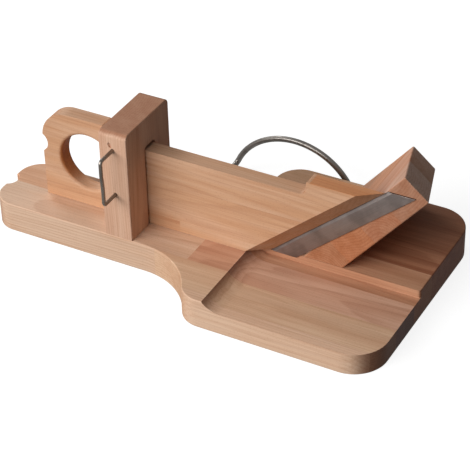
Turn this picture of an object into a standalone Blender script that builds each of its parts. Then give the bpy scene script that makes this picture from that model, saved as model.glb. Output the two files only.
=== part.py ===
"""A sliding sausage guillotine: a beech board with a tray, a slider in an arch, and a blade.

Metres, +Z up. The origin is the middle of the board's underside. X runs along the board,
towards the tray end, and Y runs from the tray side to the back.
"""

from math import asin, ceil, cos, pi, radians, sin, sqrt, tan

import bmesh
import bpy
from mathutils import Matrix, Vector

# Clearances between pieces
SEAT_GAP = 0.0003
GLUE_LINE = 0.0003
SLOT_SIDE_CLEARANCE = 0.0016
SLOT_TOP_CLEARANCE = 0.0030
BLADE_RUNNING_GAP = 0.0004
STOP_GAP = 0.0005

# Board
BOARD_LENGTH = 0.3660
BOARD_WIDTH = 0.1980
BOARD_THICKNESS = 0.0260
BOARD_EDGE_ROUND = 0.0012
WIDE_LENGTH = 0.1695
NECK_WIDTH = 0.0650
NECK_CENTRE_Y = -0.02275
NECK_CORNER_RADIUS = 0.0200
FRONT_CURVE_RADIUS = 0.0590
INNER_CURVE_RADIUS = 0.0380
SHOULDER_RADIUS = 0.0220
RIGHT_CORNER_RADIUS = 0.0280
THUMB_NOTCH_WIDTH = 0.0160
THUMB_NOTCH_DEPTH = 0.0055

# Staves that the board, the slider and the blade rest are glued up from
STAVE_WIDTH = 0.0330
LEAST_STAVE = 0.0100
BOARD_FIRST_STAVE = 0.0098
SLIDER_FIRST_STAVE = 0.0106
SLIDER_STAVES = 3
REST_FIRST_STAVE = 0.0310

# Tray
TRAY_LENGTH = 0.1428
TRAY_WIDTH = 0.0865
TRAY_DEPTH = 0.0070
TRAY_COVE_RADIUS = 0.0220
TRAY_FOOT_RADIUS = 0.0015

# Arch
ARCH_CENTRE_X = -0.0590
ARCH_THICKNESS = 0.0248
ARCH_HEIGHT = 0.0975
ARCH_TOP_ROUND = 0.0045
ARCH_EDGE_ROUND = 0.0010
SLOT_CORNER_RADIUS = 0.0035

# Slider
SLIDER_THICKNESS = 0.0132
SLIDER_HEIGHT = 0.0695
SLIDER_LEFT_X = -0.1441
SLIDER_TIP_X = 0.0394
SLIDER_EDGE_ROUND = 0.0018
SLIDER_END_SKEW = radians(27.8)
CLOSING_TRAVEL = 0.0130
HANDLE_RISE = 0.0120
HANDLE_CORNER_RADIUS = 0.0255
SHOULDER_CORNER_RADIUS = 0.0015
FINGER_HOLE_RADIUS = 0.0252
FINGER_HOLE_ROUND = 0.0030
FINGER_HOLE_BACK_ROUND = 0.0010
FINGER_HOLE_X = -0.1025
FINGER_HOLE_Z = 0.0670
GRIP_NOTCH_WIDTH = 0.0160
GRIP_NOTCH_DEPTH = 0.0045
GRIP_NOTCH_Z = 0.0755

# Blade and the leaning rest behind it
CUT_ANGLE = radians(40.8)
BLADE_FOOT_X = 0.0580
BLADE_WIDTH = 0.0147
BLADE_THICKNESS = 0.0015
BLADE_TOP_Z = 0.1085
BLADE_BEVEL_WIDTH = 0.0026
BLADE_EDGE_LAND = 0.0002
REBATE_DEPTH = 0.0008
REST_FOOT_X = 0.0837
REST_LEAN = radians(50.0)
REST_LONG_SIDE = 0.1293
REST_SHORT_SIDE = 0.0660
REST_EDGE_ROUND = 0.0012

# Wire hoop behind the board
HOOP_ROD_RADIUS = 0.0025
HOOP_RADIUS = 0.0591
HOOP_CENTRE_X = 0.0161
HOOP_CENTRE_Z = -0.0134
HOOP_END_Z = 0.0080
HOOP_BEND_RADIUS = 0.0060
HOOP_INSERT = 0.0200

# Cap opener wire on the arch
OPENER_WIRE_RADIUS = 0.0015
OPENER_LOW_Z = 0.0673
OPENER_HIGH_Z = 0.1081
OPENER_LOW_REACH = 0.0170
OPENER_HIGH_REACH = 0.0180
OPENER_KINK_LOW_Z = 0.0840
OPENER_KINK_HIGH_Z = 0.0940
OPENER_BEND_RADIUS = 0.0028
OPENER_INSERT = 0.0120

# Countersunk wood screws under the board
SCREW_LENGTH = 0.0450
SCREW_SHANK_RADIUS = 0.0020
SCREW_HEAD_RADIUS = 0.0040
SCREW_HEAD_HEIGHT = 0.0025
SCREW_SUNK = 0.0005
SCREW_POINT = 0.0060
REST_SCREW_SETBACK = 0.0245

# Facets
ARC_STEP = radians(10)
ROUND_SIDES = 20
HOLE_SIDES = 40
OVERSHOOT = 0.0100

# Places worked out from the sizes above
BOARD_LEFT = -BOARD_LENGTH / 2
BOARD_RIGHT = BOARD_LENGTH / 2
BOARD_FRONT = -BOARD_WIDTH / 2
BOARD_BACK = BOARD_WIDTH / 2
WIDE_LEFT = BOARD_RIGHT - WIDE_LENGTH
NECK_FRONT = NECK_CENTRE_Y - NECK_WIDTH / 2
NECK_BACK = NECK_CENTRE_Y + NECK_WIDTH / 2
TRAY_LEFT = BOARD_RIGHT - TRAY_LENGTH
TRAY_WALL_Y = BOARD_FRONT + TRAY_WIDTH
TRAY_FLOOR_Z = BOARD_THICKNESS - TRAY_DEPTH
SEAT_Z = BOARD_THICKNESS + SEAT_GAP
ARCH_LEFT = ARCH_CENTRE_X - ARCH_THICKNESS / 2
ARCH_RIGHT = ARCH_CENTRE_X + ARCH_THICKNESS / 2
BLADE_BACK_Y = TRAY_WALL_Y + REBATE_DEPTH - SEAT_GAP
BLADE_FRONT_Y = BLADE_BACK_Y - BLADE_THICKNESS
SLIDER_BACK_Y = BLADE_FRONT_Y - BLADE_RUNNING_GAP
SLIDER_FRONT_Y = SLIDER_BACK_Y - SLIDER_THICKNESS
SLIDER_TOP_Z = BOARD_THICKNESS + SLIDER_HEIGHT
HANDLE_TOP_Z = SLIDER_TOP_Z + HANDLE_RISE
HANDLE_SHOULDER_X = ARCH_LEFT - STOP_GAP - CLOSING_TRAVEL
SLOT_FRONT_Y = SLIDER_FRONT_Y - SLOT_SIDE_CLEARANCE
SLOT_BACK_Y = SLIDER_BACK_Y + SLOT_SIDE_CLEARANCE
SLOT_TOP_Z = SLIDER_TOP_Z + SLOT_TOP_CLEARANCE
HOOP_Y = BOARD_BACK + SEAT_GAP + HOOP_BEND_RADIUS
HOOP_END_SPREAD = sqrt(HOOP_RADIUS**2 - (HOOP_END_Z - HOOP_CENTRE_Z) ** 2)
SCREW_HEAD_Z = SCREW_SUNK

# Colours: red, green and blue, with roughness and metallic value
BEECH_PALE = ((0.62, 0.40, 0.25), 0.55, 0.0)
BEECH_ROSE = ((0.52, 0.30, 0.18), 0.55, 0.0)
BEECH_TAN = ((0.57, 0.36, 0.21), 0.55, 0.0)
BLADE_STEEL = ((0.33, 0.31, 0.30), 0.32, 1.0)
WIRE_STEEL = ((0.30, 0.28, 0.27), 0.30, 1.0)
SCREW_STEEL = ((0.55, 0.55, 0.52), 0.40, 1.0)


def clear_scene():
    """Remove every object that is in the open scene."""
    for old in list(bpy.data.objects):
        bpy.data.objects.remove(old, do_unlink=True)


def make_material(name, finish):
    """Give a Principled material of one colour, roughness and metallic value."""
    colour, roughness, metallic = finish
    material = bpy.data.materials.new(name)
    material.use_nodes = True
    shader = material.node_tree.nodes["Principled BSDF"]
    shader.inputs["Base Color"].default_value = (*colour, 1.0)
    shader.inputs["Roughness"].default_value = roughness
    shader.inputs["Metallic"].default_value = metallic
    material.diffuse_color = (*colour, 1.0)
    return material


def object_from_bmesh(name, bm, finish=None):
    """Close a bmesh into a named object. Without a finish it is a hidden cutter or guide."""
    bmesh.ops.recalc_face_normals(bm, faces=bm.faces)
    mesh = bpy.data.meshes.new(name)
    bm.to_mesh(mesh)
    bm.free()
    piece = bpy.data.objects.new(name, mesh)
    bpy.context.collection.objects.link(piece)
    if finish is None:
        piece.hide_render = True
        piece.display_type = "WIRE"
    else:
        mesh.materials.append(make_material(name, finish))
        mesh.shade_smooth()
        mesh.set_sharp_from_angle(angle=radians(35))
    return piece


def combine(piece, other, operation):
    """Add a live exact Boolean of another object to a piece."""
    modifier = piece.modifiers.new(f"{operation.lower()}_{other.name}", "BOOLEAN")
    modifier.operation = operation
    modifier.solver = "EXACT"
    modifier.object = other


def arc(centre, radius, start, end):
    """Points along an arc from one angle to another, both ends included."""
    steps = max(2, ceil(abs(end - start) / ARC_STEP))
    angles = [start + (end - start) * step / steps for step in range(steps + 1)]
    return [(centre[0] + radius * cos(a), centre[1] + radius * sin(a)) for a in angles]


def extrude_outline(points, place, direction):
    """Extrude a flat outline into a solid. place turns an outline point into a 3-D one."""
    bm = bmesh.new()
    face = bm.faces.new([bm.verts.new(place(*point)) for point in points])
    sweep = bmesh.ops.extrude_face_region(bm, geom=[face])
    moved = [item for item in sweep["geom"] if isinstance(item, bmesh.types.BMVert)]
    bmesh.ops.translate(bm, verts=moved, vec=direction)
    bmesh.ops.remove_doubles(bm, verts=bm.verts, dist=1e-6)
    return bm


def box(low, high):
    """A plain box between two corners."""
    size = Vector(high) - Vector(low)
    middle = (Vector(high) + Vector(low)) / 2
    bm = bmesh.new()
    bmesh.ops.create_cube(bm, size=1.0)
    bmesh.ops.scale(bm, verts=bm.verts, vec=size)
    bmesh.ops.translate(bm, verts=bm.verts, vec=middle)
    return bm


def round_edges(bm, edges, radius, segments=2):
    """Round the given edges of a bmesh."""
    bmesh.ops.bevel(bm, geom=list(edges), offset=radius, segments=segments, profile=0.5,
                    affect="EDGES", clamp_overlap=True, material=-1)


def slice_off(bm, point, outward):
    """Cut a bmesh with a plane, drop the side that outward points to, and close the cut."""
    geometry = bm.verts[:] + bm.edges[:] + bm.faces[:]
    bmesh.ops.bisect_plane(bm, geom=geometry, dist=1e-7, plane_co=point, plane_no=outward,
                           clear_outer=True)
    rim = [edge for edge in bm.edges if edge.is_boundary]
    bmesh.ops.holes_fill(bm, edges=rim, sides=0)


def spin_profile(profile, axis_point, axis, side, sides):
    """Turn a profile of (radius, distance along axis) about an axis into a closed solid."""
    axis = Vector(axis)
    side = Vector(side)
    start = Vector(axis_point)
    bm = bmesh.new()
    verts = [bm.verts.new(start + side * radius + axis * along) for radius, along in profile]
    edges = [bm.edges.new(pair) for pair in zip(verts, verts[1:])]
    bmesh.ops.spin(bm, geom=verts + edges, cent=start, axis=axis, dvec=(0, 0, 0),
                   angle=2 * pi, steps=sides, use_merge=True, use_duplicate=False)
    bmesh.ops.remove_doubles(bm, verts=bm.verts, dist=1e-6)
    rim = [edge for edge in bm.edges if edge.is_boundary]
    if rim:
        bmesh.ops.holes_fill(bm, edges=rim, sides=0)
    return bm


def bend_route(points, radius, steps=5):
    """Round each corner of a route of straight runs with an arc of the given radius."""
    route = [Vector(points[0])]
    for before, corner, after in zip(points, points[1:], points[2:]):
        corner = Vector(corner)
        inward = (Vector(before) - corner).normalized()
        onward = (Vector(after) - corner).normalized()
        half = inward.angle(onward) / 2
        reach = radius / tan(half)
        middle = corner + (inward + onward).normalized() * radius / sin(half)
        start = corner + inward * reach - middle
        turn = inward.cross(onward)
        route += [middle + Matrix.Rotation(-(pi - 2 * half) * step / steps, 3, turn) @ start
                  for step in range(steps + 1)]
    route.append(Vector(points[-1]))
    return route


def wire(name, route, radius, finish):
    """A round wire along a route, with flat closed ends."""
    curve = bpy.data.curves.new(name, "CURVE")
    curve.dimensions = "3D"
    curve.bevel_depth = radius
    curve.bevel_resolution = 2
    curve.use_fill_caps = True
    spline = curve.splines.new("POLY")
    spline.points.add(len(route) - 1)
    for point, place in zip(spline.points, route):
        point.co = (*place, 1.0)
    curve.materials.append(make_material(name, finish))
    piece = bpy.data.objects.new(name, curve)
    bpy.context.collection.objects.link(piece)
    return piece


def drilled_hole(name, mouth, direction, side, radius, depth):
    """A cutter for a round hole that starts a little outside its mouth."""
    profile = [(0, -OVERSHOOT), (radius, -OVERSHOOT), (radius, depth), (0, depth)]
    return object_from_bmesh(name, spin_profile(profile, mouth, direction, side, ROUND_SIDES))


def joint_places(start, end, first, width):
    """Places of the glue joints between two ends, with no sliver left as the last stave."""
    places = []
    place = start + first
    while place < end - LEAST_STAVE:
        places.append(place)
        place += width
    return places


def stave_spans(start, end, joints):
    """Low and high side of each stave, with the glue line left open and the ends run past."""
    edges = [start - OVERSHOOT, *joints, end + OVERSHOOT]
    half = GLUE_LINE / 2
    return [(low + half, high - half) for low, high in zip(edges, edges[1:])]


def shoulder_run(depth, total):
    """Length along X that a shoulder of this depth takes up, given its radii's sum."""
    if depth >= total:
        return total
    return sqrt(total**2 - (total - depth) ** 2)


def shoulder_points(neck_edge, board_edge, hollow):
    """The S from the neck's edge to the wide part's edge, with a hollow of this radius."""
    way = 1 if board_edge > neck_edge else -1
    depth = abs(board_edge - neck_edge)
    run = shoulder_run(depth, hollow + SHOULDER_RADIUS)
    corner = (WIDE_LEFT + SHOULDER_RADIUS, board_edge - way * SHOULDER_RADIUS)
    inner = (corner[0] - run, neck_edge + way * hollow)
    swing = asin(run / (hollow + SHOULDER_RADIUS))
    lean = way * (pi / 2 - swing)
    first = arc(inner, hollow, -way * pi / 2, -lean)
    second = arc(corner, SHOULDER_RADIUS, pi - lean, pi - way * pi / 2)
    return first + second


def board_outline():
    """The board seen from above: neck with its thumb notch, S shoulders and wide part."""
    radius = NECK_CORNER_RADIUS
    half_notch = THUMB_NOTCH_WIDTH / 2
    notch_radius = (half_notch**2 + THUMB_NOTCH_DEPTH**2) / (2 * THUMB_NOTCH_DEPTH)
    notch_centre = (BOARD_LEFT + THUMB_NOTCH_DEPTH - notch_radius, NECK_CENTRE_Y)
    notch_swing = asin(half_notch / notch_radius)
    corner = RIGHT_CORNER_RADIUS
    points = arc((BOARD_LEFT + radius, NECK_FRONT + radius), radius, pi, 3 * pi / 2)
    points += shoulder_points(NECK_FRONT, BOARD_FRONT, FRONT_CURVE_RADIUS)
    points += arc((BOARD_RIGHT - corner, BOARD_FRONT + corner), corner, -pi / 2, 0)
    points += arc((BOARD_RIGHT - corner, BOARD_BACK - corner), corner, 0, pi / 2)
    points += shoulder_points(NECK_BACK, BOARD_BACK, INNER_CURVE_RADIUS)[::-1]
    points += arc((BOARD_LEFT + radius, NECK_BACK - radius), radius, pi / 2, pi)
    points += arc(notch_centre, notch_radius, notch_swing, -notch_swing)
    return points


def board_blank():
    """The whole glued-up board with eased edges, before the staves are told apart."""
    bm = extrude_outline(board_outline(), lambda x, y: (x, y, 0.0), (0, 0, BOARD_THICKNESS))
    rims = [edge for edge in bm.edges
            if abs(edge.verts[0].co.z - edge.verts[1].co.z) < BOARD_THICKNESS / 2]
    round_edges(bm, rims, BOARD_EDGE_ROUND)
    return object_from_bmesh("guide_board", bm)


def tray_cutter():
    """The tray's hollow: a cove at its left, a flat floor and a square wall behind."""
    drop = TRAY_COVE_RADIUS - TRAY_DEPTH
    foot_x = TRAY_LEFT + sqrt(TRAY_COVE_RADIUS**2 - drop**2)
    top = TRAY_FLOOR_Z + TRAY_COVE_RADIUS
    end = BOARD_RIGHT + OVERSHOOT
    points = arc((foot_x, top), TRAY_COVE_RADIUS, pi, 3 * pi / 2)
    points += [(end, TRAY_FLOOR_Z), (end, top)]
    run = TRAY_WIDTH + OVERSHOOT
    bm = extrude_outline(points, lambda x, z: (x, TRAY_WALL_Y - run, z), (0, run, 0))
    foot = [edge for edge in bm.edges
            if all(abs(vertex.co.y - TRAY_WALL_Y) < 1e-6 for vertex in edge.verts)
            and all(vertex.co.z < top - OVERSHOOT / 2 for vertex in edge.verts)]
    round_edges(bm, foot, TRAY_FOOT_RADIUS)
    return object_from_bmesh("cutter_tray", bm)


def screw_profile(grow):
    """Half section of a countersunk screw, from its head up to its point, grown all round."""
    shank = SCREW_SHANK_RADIUS + grow
    head = SCREW_HEAD_RADIUS + grow
    tip = SCREW_LENGTH + grow
    return [(0, 0), (head, 0), (shank, SCREW_HEAD_HEIGHT + grow), (shank, tip - SCREW_POINT),
            (0, tip)]


def screw_places():
    """Foot of each hidden screw: two into the arch's legs and two into the blade rest."""
    rest_x = REST_FOOT_X + REST_SCREW_SETBACK
    middle = (TRAY_WALL_Y + BOARD_BACK) / 2
    spread = STAVE_WIDTH / 2
    return {
        "arch_screw_front": (ARCH_CENTRE_X, (NECK_FRONT + SLOT_FRONT_Y) / 2),
        "arch_screw_back": (ARCH_CENTRE_X, (NECK_BACK + SLOT_BACK_Y) / 2),
        "blade_rest_screw_front": (rest_x, middle - spread),
        "blade_rest_screw_back": (rest_x, middle + spread),
    }


def make_screws():
    """The four screws, which share one mesh, and the cutters for their holes."""
    holes = []
    shared = None
    for name, (x, y) in screw_places().items():
        if shared is None:
            bm = spin_profile(screw_profile(0.0), (0, 0, 0), (0, 0, 1), (1, 0, 0), ROUND_SIDES)
            screw = object_from_bmesh(name, bm, SCREW_STEEL)
            shared = screw.data
        else:
            screw = bpy.data.objects.new(name, shared)
            bpy.context.collection.objects.link(screw)
        screw.location = (x, y, SCREW_HEAD_Z)
        head = SCREW_HEAD_RADIUS + SEAT_GAP
        profile = [(0, -OVERSHOOT), (head, -OVERSHOOT), *screw_profile(SEAT_GAP)[1:]]
        hole = spin_profile(profile, (x, y, SCREW_HEAD_Z), (0, 0, 1), (1, 0, 0), ROUND_SIDES)
        holes.append(object_from_bmesh(f"cutter_{name}", hole))
    return holes


def reaches(cutter, low, high, axis):
    """Whether a cutter's own mesh reaches into a span along an axis."""
    places = [vertex.co[axis] for vertex in cutter.data.vertices]
    return max(places) > low and min(places) < high


def make_board(screw_holes, hoop_holes):
    """The board's staves, each cut from the same blank, with the tray and the holes."""
    blank = board_blank()
    cutters = [tray_cutter(), *screw_holes, *hoop_holes]
    joints = joint_places(BOARD_FRONT, BOARD_BACK, BOARD_FIRST_STAVE, STAVE_WIDTH)
    colours = [BEECH_PALE, BEECH_TAN, BEECH_ROSE]
    for number, (low, high) in enumerate(stave_spans(BOARD_FRONT, BOARD_BACK, joints), 1):
        slab = box((BOARD_LEFT - OVERSHOOT, low, -OVERSHOOT),
                   (BOARD_RIGHT + OVERSHOOT, high, BOARD_THICKNESS + OVERSHOOT))
        stave = object_from_bmesh(f"board_stave_{number}", slab, colours[number % 3])
        combine(stave, blank, "INTERSECT")
        for cutter in cutters:
            if reaches(cutter, low, high, 1):
                combine(stave, cutter, "DIFFERENCE")


def make_arch(screw_holes, opener_holes):
    """The block that straddles the slider: well rounded at its top's front and back, less so
    along its other edges, and square at its foot."""
    bm = box((ARCH_LEFT, NECK_FRONT, SEAT_Z),
             (ARCH_RIGHT, NECK_BACK, BOARD_THICKNESS + ARCH_HEIGHT))
    middle_z = SEAT_Z + ARCH_HEIGHT / 2
    across = [edge for edge in bm.edges
              if min(vertex.co.z for vertex in edge.verts) > middle_z
              and abs(edge.verts[0].co.x - edge.verts[1].co.x) > ARCH_THICKNESS / 2]
    round_edges(bm, across, ARCH_TOP_ROUND, segments=4)
    sharp = [edge for edge in bm.edges if edge.calc_face_angle() > radians(60)
             and max(vertex.co.z for vertex in edge.verts) > middle_z]
    round_edges(bm, sharp, ARCH_EDGE_ROUND)
    arch = object_from_bmesh("arch", bm, BEECH_TAN)
    slot = box((ARCH_LEFT - OVERSHOOT, SLOT_FRONT_Y, 0.0),
               (ARCH_RIGHT + OVERSHOOT, SLOT_BACK_Y, SLOT_TOP_Z))
    top = [edge for edge in slot.edges
           if all(vertex.co.z > SLOT_TOP_Z / 2 for vertex in edge.verts)
           and abs(edge.verts[0].co.x - edge.verts[1].co.x) > ARCH_THICKNESS]
    round_edges(slot, top, SLOT_CORNER_RADIUS, segments=3)
    combine(arch, object_from_bmesh("cutter_arch_slot", slot), "DIFFERENCE")
    for hole in [*screw_holes[:2], *opener_holes]:
        combine(arch, hole, "DIFFERENCE")


def slider_outline():
    """The slider seen from the front, left square at its right end for the slanted cut."""
    half_notch = GRIP_NOTCH_WIDTH / 2
    notch_radius = (half_notch**2 + GRIP_NOTCH_DEPTH**2) / (2 * GRIP_NOTCH_DEPTH)
    notch_swing = asin(half_notch / notch_radius)
    notch_centre = (SLIDER_LEFT_X + GRIP_NOTCH_DEPTH - notch_radius, GRIP_NOTCH_Z)
    corner = HANDLE_CORNER_RADIUS
    small = SHOULDER_CORNER_RADIUS
    corner_start = pi
    if HANDLE_TOP_Z - corner < GRIP_NOTCH_Z + half_notch:
        lift = GRIP_NOTCH_Z + half_notch - (HANDLE_TOP_Z - corner)
        corner_start = pi - asin(min(1.0, lift / corner))
    right = SLIDER_TIP_X + SLIDER_HEIGHT / tan(CUT_ANGLE) + SLIDER_THICKNESS
    points = [(SLIDER_LEFT_X, SEAT_Z)]
    points += arc(notch_centre, notch_radius, -notch_swing, notch_swing)
    points += arc((SLIDER_LEFT_X + corner, HANDLE_TOP_Z - corner), corner, corner_start, pi / 2)
    points += arc((HANDLE_SHOULDER_X - small, HANDLE_TOP_Z - small), small, pi / 2, 0)
    points += [(HANDLE_SHOULDER_X, SLIDER_TOP_Z), (right, SLIDER_TOP_Z), (right, SEAT_Z)]
    return points


def slider_blank():
    """The whole slider with eased edges and its slanted end, before its staves are told apart."""
    bm = extrude_outline(slider_outline(), lambda x, z: (x, SLIDER_FRONT_Y, z),
                         (0, SLIDER_THICKNESS, 0))
    rims = [edge for edge in bm.edges
            if abs(edge.verts[0].co.y - edge.verts[1].co.y) < SLIDER_THICKNESS / 2
            and max(vertex.co.z for vertex in edge.verts) > SEAT_Z + SEAT_GAP
            and min(vertex.co.x for vertex in edge.verts) < SLIDER_TIP_X]
    round_edges(bm, rims, SLIDER_EDGE_ROUND)
    tip = Vector((SLIDER_TIP_X, SLIDER_FRONT_Y, BOARD_THICKNESS))
    rise = Vector((cos(CUT_ANGLE), 0, sin(CUT_ANGLE)))
    skew = Vector((sin(SLIDER_END_SKEW), cos(SLIDER_END_SKEW), 0))
    slice_off(bm, tip, skew.cross(rise))
    return object_from_bmesh("guide_slider", bm)


def finger_hole_cutter():
    """A round cutter that flares at both faces, so that the hole's rims come out rounded."""
    radius = FINGER_HOLE_RADIUS
    front, back = FINGER_HOLE_ROUND, FINGER_HOLE_BACK_ROUND
    far = SLIDER_THICKNESS
    front_flare = arc((radius + front, front), front, 3 * pi / 2, pi)
    back_flare = arc((radius + back, far - back), back, pi, pi / 2)
    profile = [(0, -OVERSHOOT), (radius + front, -OVERSHOOT), *front_flare, *back_flare,
               (radius + back, far + OVERSHOOT), (0, far + OVERSHOOT)]
    centre = (FINGER_HOLE_X, SLIDER_FRONT_Y, FINGER_HOLE_Z)
    return object_from_bmesh("cutter_finger_hole",
                             spin_profile(profile, centre, (0, 1, 0), (1, 0, 0), HOLE_SIDES))


def make_slider():
    """The slider's staves, lowest first, on a parent at the slider's own place."""
    blank = slider_blank()
    hole = finger_hole_cutter()
    parent = bpy.data.objects.new("slider", None)
    bpy.context.collection.objects.link(parent)
    joints = joint_places(BOARD_THICKNESS, SLIDER_TOP_Z, SLIDER_FIRST_STAVE, STAVE_WIDTH)
    joints = joints[:SLIDER_STAVES - 1]
    names = ["slider_lower_stave", "slider_middle_stave", "slider_upper_stave"]
    colours = [BEECH_TAN, BEECH_PALE, BEECH_PALE]
    spans = stave_spans(BOARD_THICKNESS, HANDLE_TOP_Z, joints)
    for name, colour, (low, high) in zip(names, colours, spans):
        slab = box((SLIDER_LEFT_X - OVERSHOOT, SLIDER_FRONT_Y - OVERSHOOT, low),
                   (BOARD_RIGHT, SLIDER_BACK_Y + OVERSHOOT, high))
        stave = object_from_bmesh(name, slab, colour)
        stave.parent = parent
        combine(stave, blank, "INTERSECT")
        if reaches(hole, low, high, 2):
            combine(stave, hole, "DIFFERENCE")


def make_blade():
    """The steel blade: a flat bar ground along its upper edge, with level ends."""
    along = Vector((cos(CUT_ANGLE), 0, sin(CUT_ANGLE)))
    across = Vector((sin(CUT_ANGLE), 0, -cos(CUT_ANGLE)))
    section = [(0, BLADE_BACK_Y), (0, BLADE_BACK_Y - BLADE_EDGE_LAND),
               (BLADE_BEVEL_WIDTH, BLADE_FRONT_Y), (BLADE_WIDTH, BLADE_FRONT_Y),
               (BLADE_WIDTH, BLADE_BACK_Y)]
    length = (BLADE_TOP_Z - SEAT_Z) / sin(CUT_ANGLE) + 4 * BLADE_WIDTH
    start = Vector((BLADE_FOOT_X, 0, BOARD_THICKNESS)) - along * 2 * BLADE_WIDTH
    bm = extrude_outline(section, lambda wide, y: start + across * wide + Vector((0, y, 0)),
                         along * length)
    slice_off(bm, Vector((0, 0, BLADE_TOP_Z)), Vector((0, 0, 1)))
    slice_off(bm, Vector((0, 0, SEAT_Z)), Vector((0, 0, -1)))
    return object_from_bmesh("blade", bm, BLADE_STEEL)


def rebate_cutter():
    """The shallow rebate that the blade lies in, on the front end of the blade rest."""
    slant = SEAT_GAP / sin(CUT_ANGLE)
    low_x = BLADE_FOOT_X - slant
    high_x = BLADE_FOOT_X + BLADE_WIDTH / sin(CUT_ANGLE) + slant
    low_z = BOARD_THICKNESS - OVERSHOOT
    high_z = BLADE_TOP_Z + SEAT_GAP
    fall = OVERSHOOT / tan(CUT_ANGLE)
    rise = (high_z - BOARD_THICKNESS) / tan(CUT_ANGLE)
    points = [(low_x - fall, low_z), (high_x - fall, low_z), (high_x + rise, high_z),
              (low_x + rise, high_z)]
    start = TRAY_WALL_Y - OVERSHOOT
    return object_from_bmesh("cutter_rebate", extrude_outline(
        points, lambda x, z: (x, start, z), (0, OVERSHOOT + REBATE_DEPTH, 0)))


def rest_direction():
    """Unit vector up the blade rest's leaning faces."""
    return Vector((cos(REST_LEAN), 0, sin(REST_LEAN)))


def rest_blank():
    """The leaning plank: feet level, its upper end cut off on a diagonal."""
    up = rest_direction()
    through = Vector((sin(REST_LEAN), 0, -cos(REST_LEAN)))
    foot = Vector((REST_FOOT_X, TRAY_WALL_Y, BOARD_THICKNESS))
    depth = BOARD_BACK - TRAY_WALL_Y
    reach = REST_LONG_SIDE + BOARD_THICKNESS
    points = [(0.0, -BOARD_THICKNESS * 2), (0.0, reach), (BOARD_THICKNESS, reach),
              (BOARD_THICKNESS, -BOARD_THICKNESS * 2)]
    bm = extrude_outline(points, lambda t, u: foot + through * t + up * u, (0, depth, 0))
    top = foot + up * REST_LONG_SIDE
    diagonal = up * (REST_SHORT_SIDE - REST_LONG_SIDE) + Vector((0, depth, 0))
    slice_off(bm, top, through.cross(diagonal))
    slice_off(bm, Vector((0, 0, SEAT_Z)), Vector((0, 0, -1)))
    edges = [edge for edge in bm.edges
             if max(vertex.co.z for vertex in edge.verts) > SEAT_Z + SEAT_GAP]
    round_edges(bm, edges, REST_EDGE_ROUND)
    return object_from_bmesh("guide_blade_rest", bm)


def make_blade_rest(screw_holes):
    """The staves of the leaning blade rest, lowest first."""
    blank = rest_blank()
    rebate = rebate_cutter()
    up = rest_direction()
    foot = Vector((REST_FOOT_X, 0, BOARD_THICKNESS))
    joints = joint_places(0.0, REST_LONG_SIDE, REST_FIRST_STAVE, STAVE_WIDTH)
    turn = Matrix.Translation(foot) @ Matrix.Rotation(pi / 2 - REST_LEAN, 4, "Y")
    reach = REST_LONG_SIDE + BOARD_THICKNESS
    colours = [BEECH_ROSE, BEECH_TAN, BEECH_ROSE, BEECH_PALE]
    for number, (low, high) in enumerate(stave_spans(0.0, REST_LONG_SIDE, joints), 1):
        if number == 1:
            low -= BOARD_THICKNESS * 2
        slab = box((-reach, BOARD_FRONT, low), (reach, BOARD_BACK + OVERSHOOT, high))
        bmesh.ops.transform(slab, matrix=turn, verts=slab.verts)
        stave = object_from_bmesh(f"blade_rest_stave_{number}", slab, colours[(number - 1) % 4])
        combine(stave, blank, "INTERSECT")
        combine(stave, rebate, "DIFFERENCE")
        if number == 1:
            for hole in screw_holes[2:]:
                combine(stave, hole, "DIFFERENCE")


def hoop_holes():
    """The two holes for the hoop's ends: in the wide part's back edge and the neck's side."""
    right = (HOOP_CENTRE_X + HOOP_END_SPREAD, BOARD_BACK, HOOP_END_Z)
    left = (HOOP_CENTRE_X - HOOP_END_SPREAD, NECK_BACK, HOOP_END_Z)
    radius = HOOP_ROD_RADIUS + SEAT_GAP
    depth = HOOP_INSERT + SEAT_GAP
    return [drilled_hole("cutter_hoop_right", right, (0, -1, 0), (1, 0, 0), radius, depth),
            drilled_hole("cutter_hoop_left", left, (0, -1, 0), (1, 0, 0), radius, depth)]


def make_hoop():
    """The bent rod behind the board: a ring above its edge, with both ends turned forward."""
    bend_top = HOOP_END_Z + HOOP_BEND_RADIUS + SEAT_GAP
    lift = asin((bend_top - HOOP_CENTRE_Z) / HOOP_RADIUS)
    ring = arc((HOOP_CENTRE_X, HOOP_CENTRE_Z), HOOP_RADIUS, lift, pi - lift)
    ring = [Vector((x, HOOP_Y, z)) for x, z in ring]
    right_foot = Vector((HOOP_CENTRE_X + HOOP_END_SPREAD, HOOP_Y, HOOP_END_Z))
    left_foot = Vector((HOOP_CENTRE_X - HOOP_END_SPREAD, HOOP_Y, HOOP_END_Z))
    right_end = Vector((right_foot.x, BOARD_BACK - HOOP_INSERT, HOOP_END_Z))
    left_end = Vector((left_foot.x, NECK_BACK - HOOP_INSERT, HOOP_END_Z))
    route = bend_route([right_end, right_foot, ring[0]], HOOP_BEND_RADIUS)[:-1] + ring
    route += bend_route([ring[-1], left_foot, left_end], HOOP_BEND_RADIUS)[1:]
    return wire("hoop", route, HOOP_ROD_RADIUS, WIRE_STEEL)


def opener_holes():
    """The two holes in the arch's front for the cap opener's ends."""
    radius = OPENER_WIRE_RADIUS + SEAT_GAP
    depth = OPENER_INSERT + SEAT_GAP
    heights = {"low": OPENER_LOW_Z, "high": OPENER_HIGH_Z}
    return [drilled_hole(f"cutter_opener_{name}", (ARCH_CENTRE_X, NECK_FRONT, z), (0, 1, 0),
                         (1, 0, 0), radius, depth) for name, z in heights.items()]


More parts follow.
